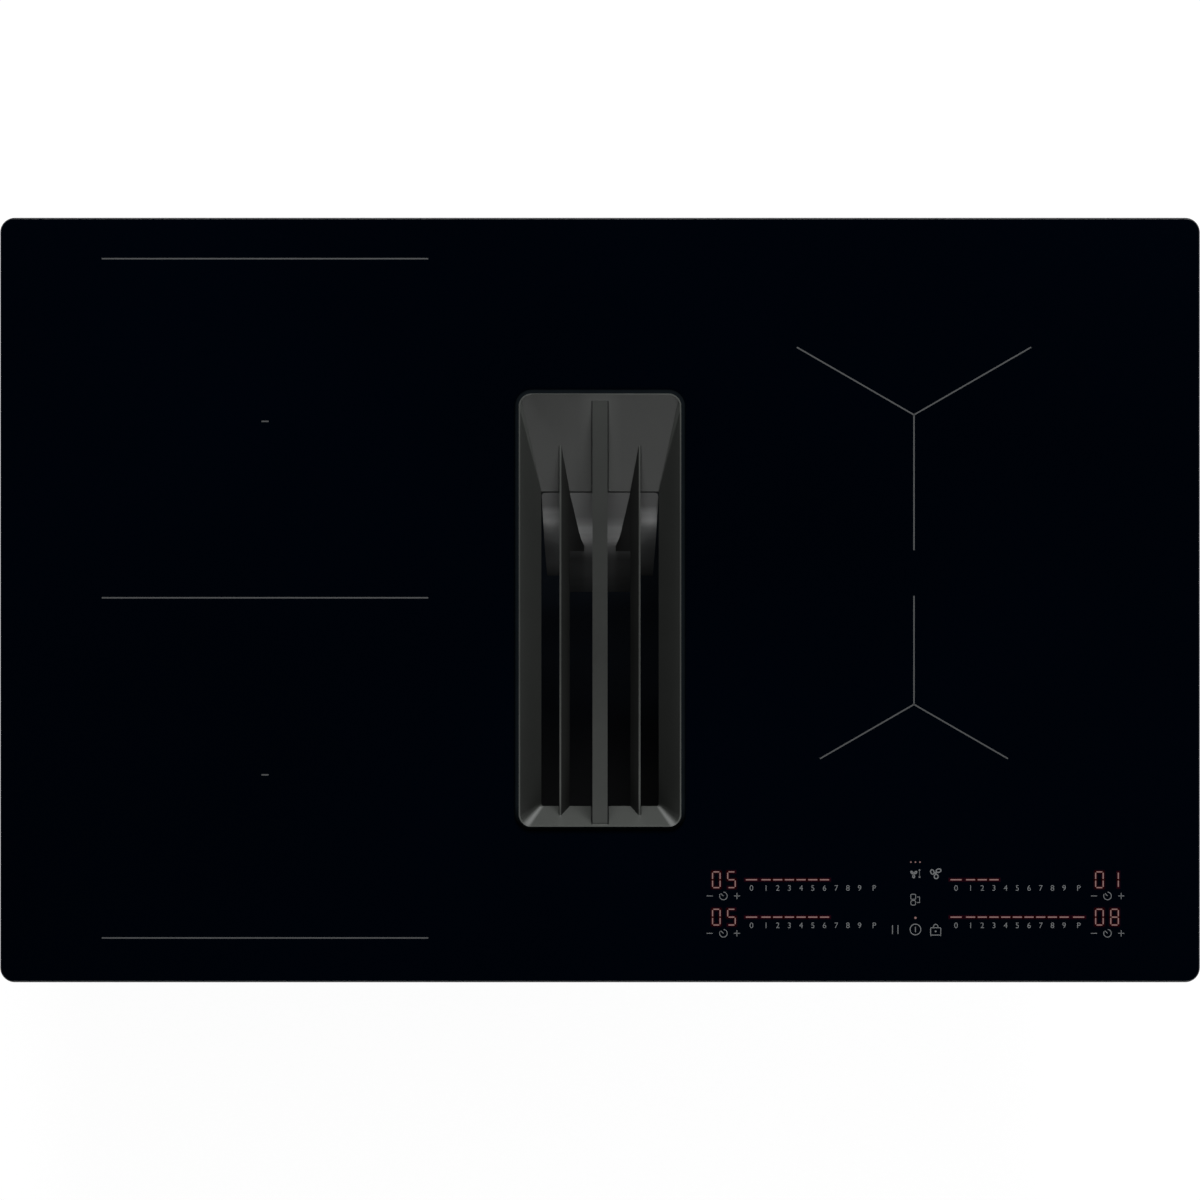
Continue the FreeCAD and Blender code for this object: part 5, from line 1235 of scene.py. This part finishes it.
def studio_world(stage):
    """White for the camera, white low down and dark overhead in reflections, and an even fill of light."""
    world = bpy.data.worlds.new("studio")
    bpy.context.scene.world = world
    world.use_nodes = True
    tree = world.node_tree
    tree.nodes.clear()
    fill = add_node(tree, "ShaderNodeBackground", {"Strength": stage.world_fill})["Background"]
    upwards = parts_of(tree, add_node(tree, "ShaderNodeTexCoord")["Generated"])[2]
    sky = two_colours(tree, upwards, (1, 1, 1), OVERHEAD_COLOUR, 0.02, 0.30)
    sky = blended(tree, add_node(tree, "ShaderNodeLightPath")["Is Camera Ray"], sky, (1, 1, 1))
    seen = add_node(tree, "ShaderNodeBackground", {"Color": sky})["Background"]
    total = add_node(tree, "ShaderNodeMixShader", {"Fac": seen_rays(tree), 1: fill, 2: seen})["Shader"]
    add_node(tree, "ShaderNodeOutputWorld", {"Surface": total})


def add_lamp(name, place, width, height, power):
    """A softbox at place that faces the origin."""
    lamp = bpy.data.lights.new(name, "AREA")
    lamp.shape = "RECTANGLE"
    lamp.size = width
    lamp.size_y = height
    lamp.energy = power
    holder = bpy.data.objects.new(name, lamp)
    bpy.context.scene.collection.objects.link(holder)
    holder.location = place
    holder.rotation_euler = (-Vector(place)).to_track_quat("-Z", "Y").to_euler()


class COOKTOP_OT_stage(bpy.types.Operator):
    """Set the floor, the world, the lamps and the camera over the cooktop"""
    bl_idname = "cooktop.stage"
    bl_label = "Stage"

    def execute(self, context):
        stage = context.scene.cooktop_stage
        shape = bmesh.new()
        bmesh.ops.create_grid(
            shape, x_segments=1, y_segments=1, size=FLOOR_HALF, matrix=Matrix.Translation((0, 0, CAD_LOW.z))
        )
        mesh = bpy.data.meshes.new("floor")
        shape.to_mesh(mesh)
        shape.free()
        floor = bpy.data.objects.new("floor", mesh)
        context.scene.collection.objects.link(floor)
        mesh.materials.append(floor_material(stage))
        studio_world(stage)
        add_lamp("rear_softbox", (0.35, 2.5, 1.6), 2.2, 1.2, stage.rear_power)
        add_lamp("front_softbox", (0.2, -2.3, 1.6), 2.2, 1.0, stage.front_power)
        lens = bpy.data.cameras.new("camera")
        lens.sensor_width = stage.sensor
        lens.sensor_fit = "HORIZONTAL"
        lens.lens = stage.sensor * stage.camera_height / (GLASS_HIGH.x - GLASS_LOW.x)
        lens.clip_end = VIEW_END
        camera = bpy.data.objects.new("camera", lens)
        context.scene.collection.objects.link(camera)
        centre = (GLASS_LOW + GLASS_HIGH) / 2
        camera.location = (centre.x, centre.y, GLASS_TOP + stage.camera_height)
        context.scene.camera = camera
        context.scene.view_settings.view_transform = "Standard"
        return {"FINISHED"}


OPERATORS = (
    COOKTOP_OT_glass, COOKTOP_OT_grille, COOKTOP_OT_filter, COOKTOP_OT_zones, COOKTOP_OT_signs,
    COOKTOP_OT_lights, COOKTOP_OT_casing, COOKTOP_OT_extractor, COOKTOP_OT_inside, COOKTOP_OT_stage,
)
GROUPS = (
    ("cooktop_finish", CooktopFinish), ("cooktop_marks", CooktopMarks),
    ("cooktop_controls", CooktopControls), ("cooktop_stage", CooktopStage),
)


class COOKTOP_PT_panel(bpy.types.Panel):
    """Lists the cooktop's pieces and their settings"""
    bl_idname = "COOKTOP_PT_panel"
    bl_label = "Downdraft cooktop"
    bl_space_type = "VIEW_3D"
    bl_region_type = "UI"
    bl_category = "Cooktop"

    def draw(self, context):
        for operator in OPERATORS:
            self.layout.operator(operator.bl_idname)
        for key, _ in GROUPS:
            group = getattr(context.scene, key)
            column = self.layout.column(align=True)
            for name in group.bl_rna.properties.keys():
                if name not in ("rna_type", "name"):
                    column.prop(group, name)


def register():
    for name, group in GROUPS:
        bpy.utils.register_class(group)
        setattr(bpy.types.Scene, name, bpy.props.PointerProperty(type=group))
    for operator in OPERATORS:
        bpy.utils.register_class(operator)
    bpy.utils.register_class(COOKTOP_PT_panel)


def unregister():
    bpy.utils.unregister_class(COOKTOP_PT_panel)
    for operator in reversed(OPERATORS):
        bpy.utils.unregister_class(operator)
    for name, group in reversed(GROUPS):
        delattr(bpy.types.Scene, name)
        bpy.utils.unregister_class(group)


def main():
    register()
    for operator in OPERATORS:
        family, action = operator.bl_idname.split(".")
        getattr(getattr(bpy.ops, family), action)()


if __name__ == "__main__":
    main()
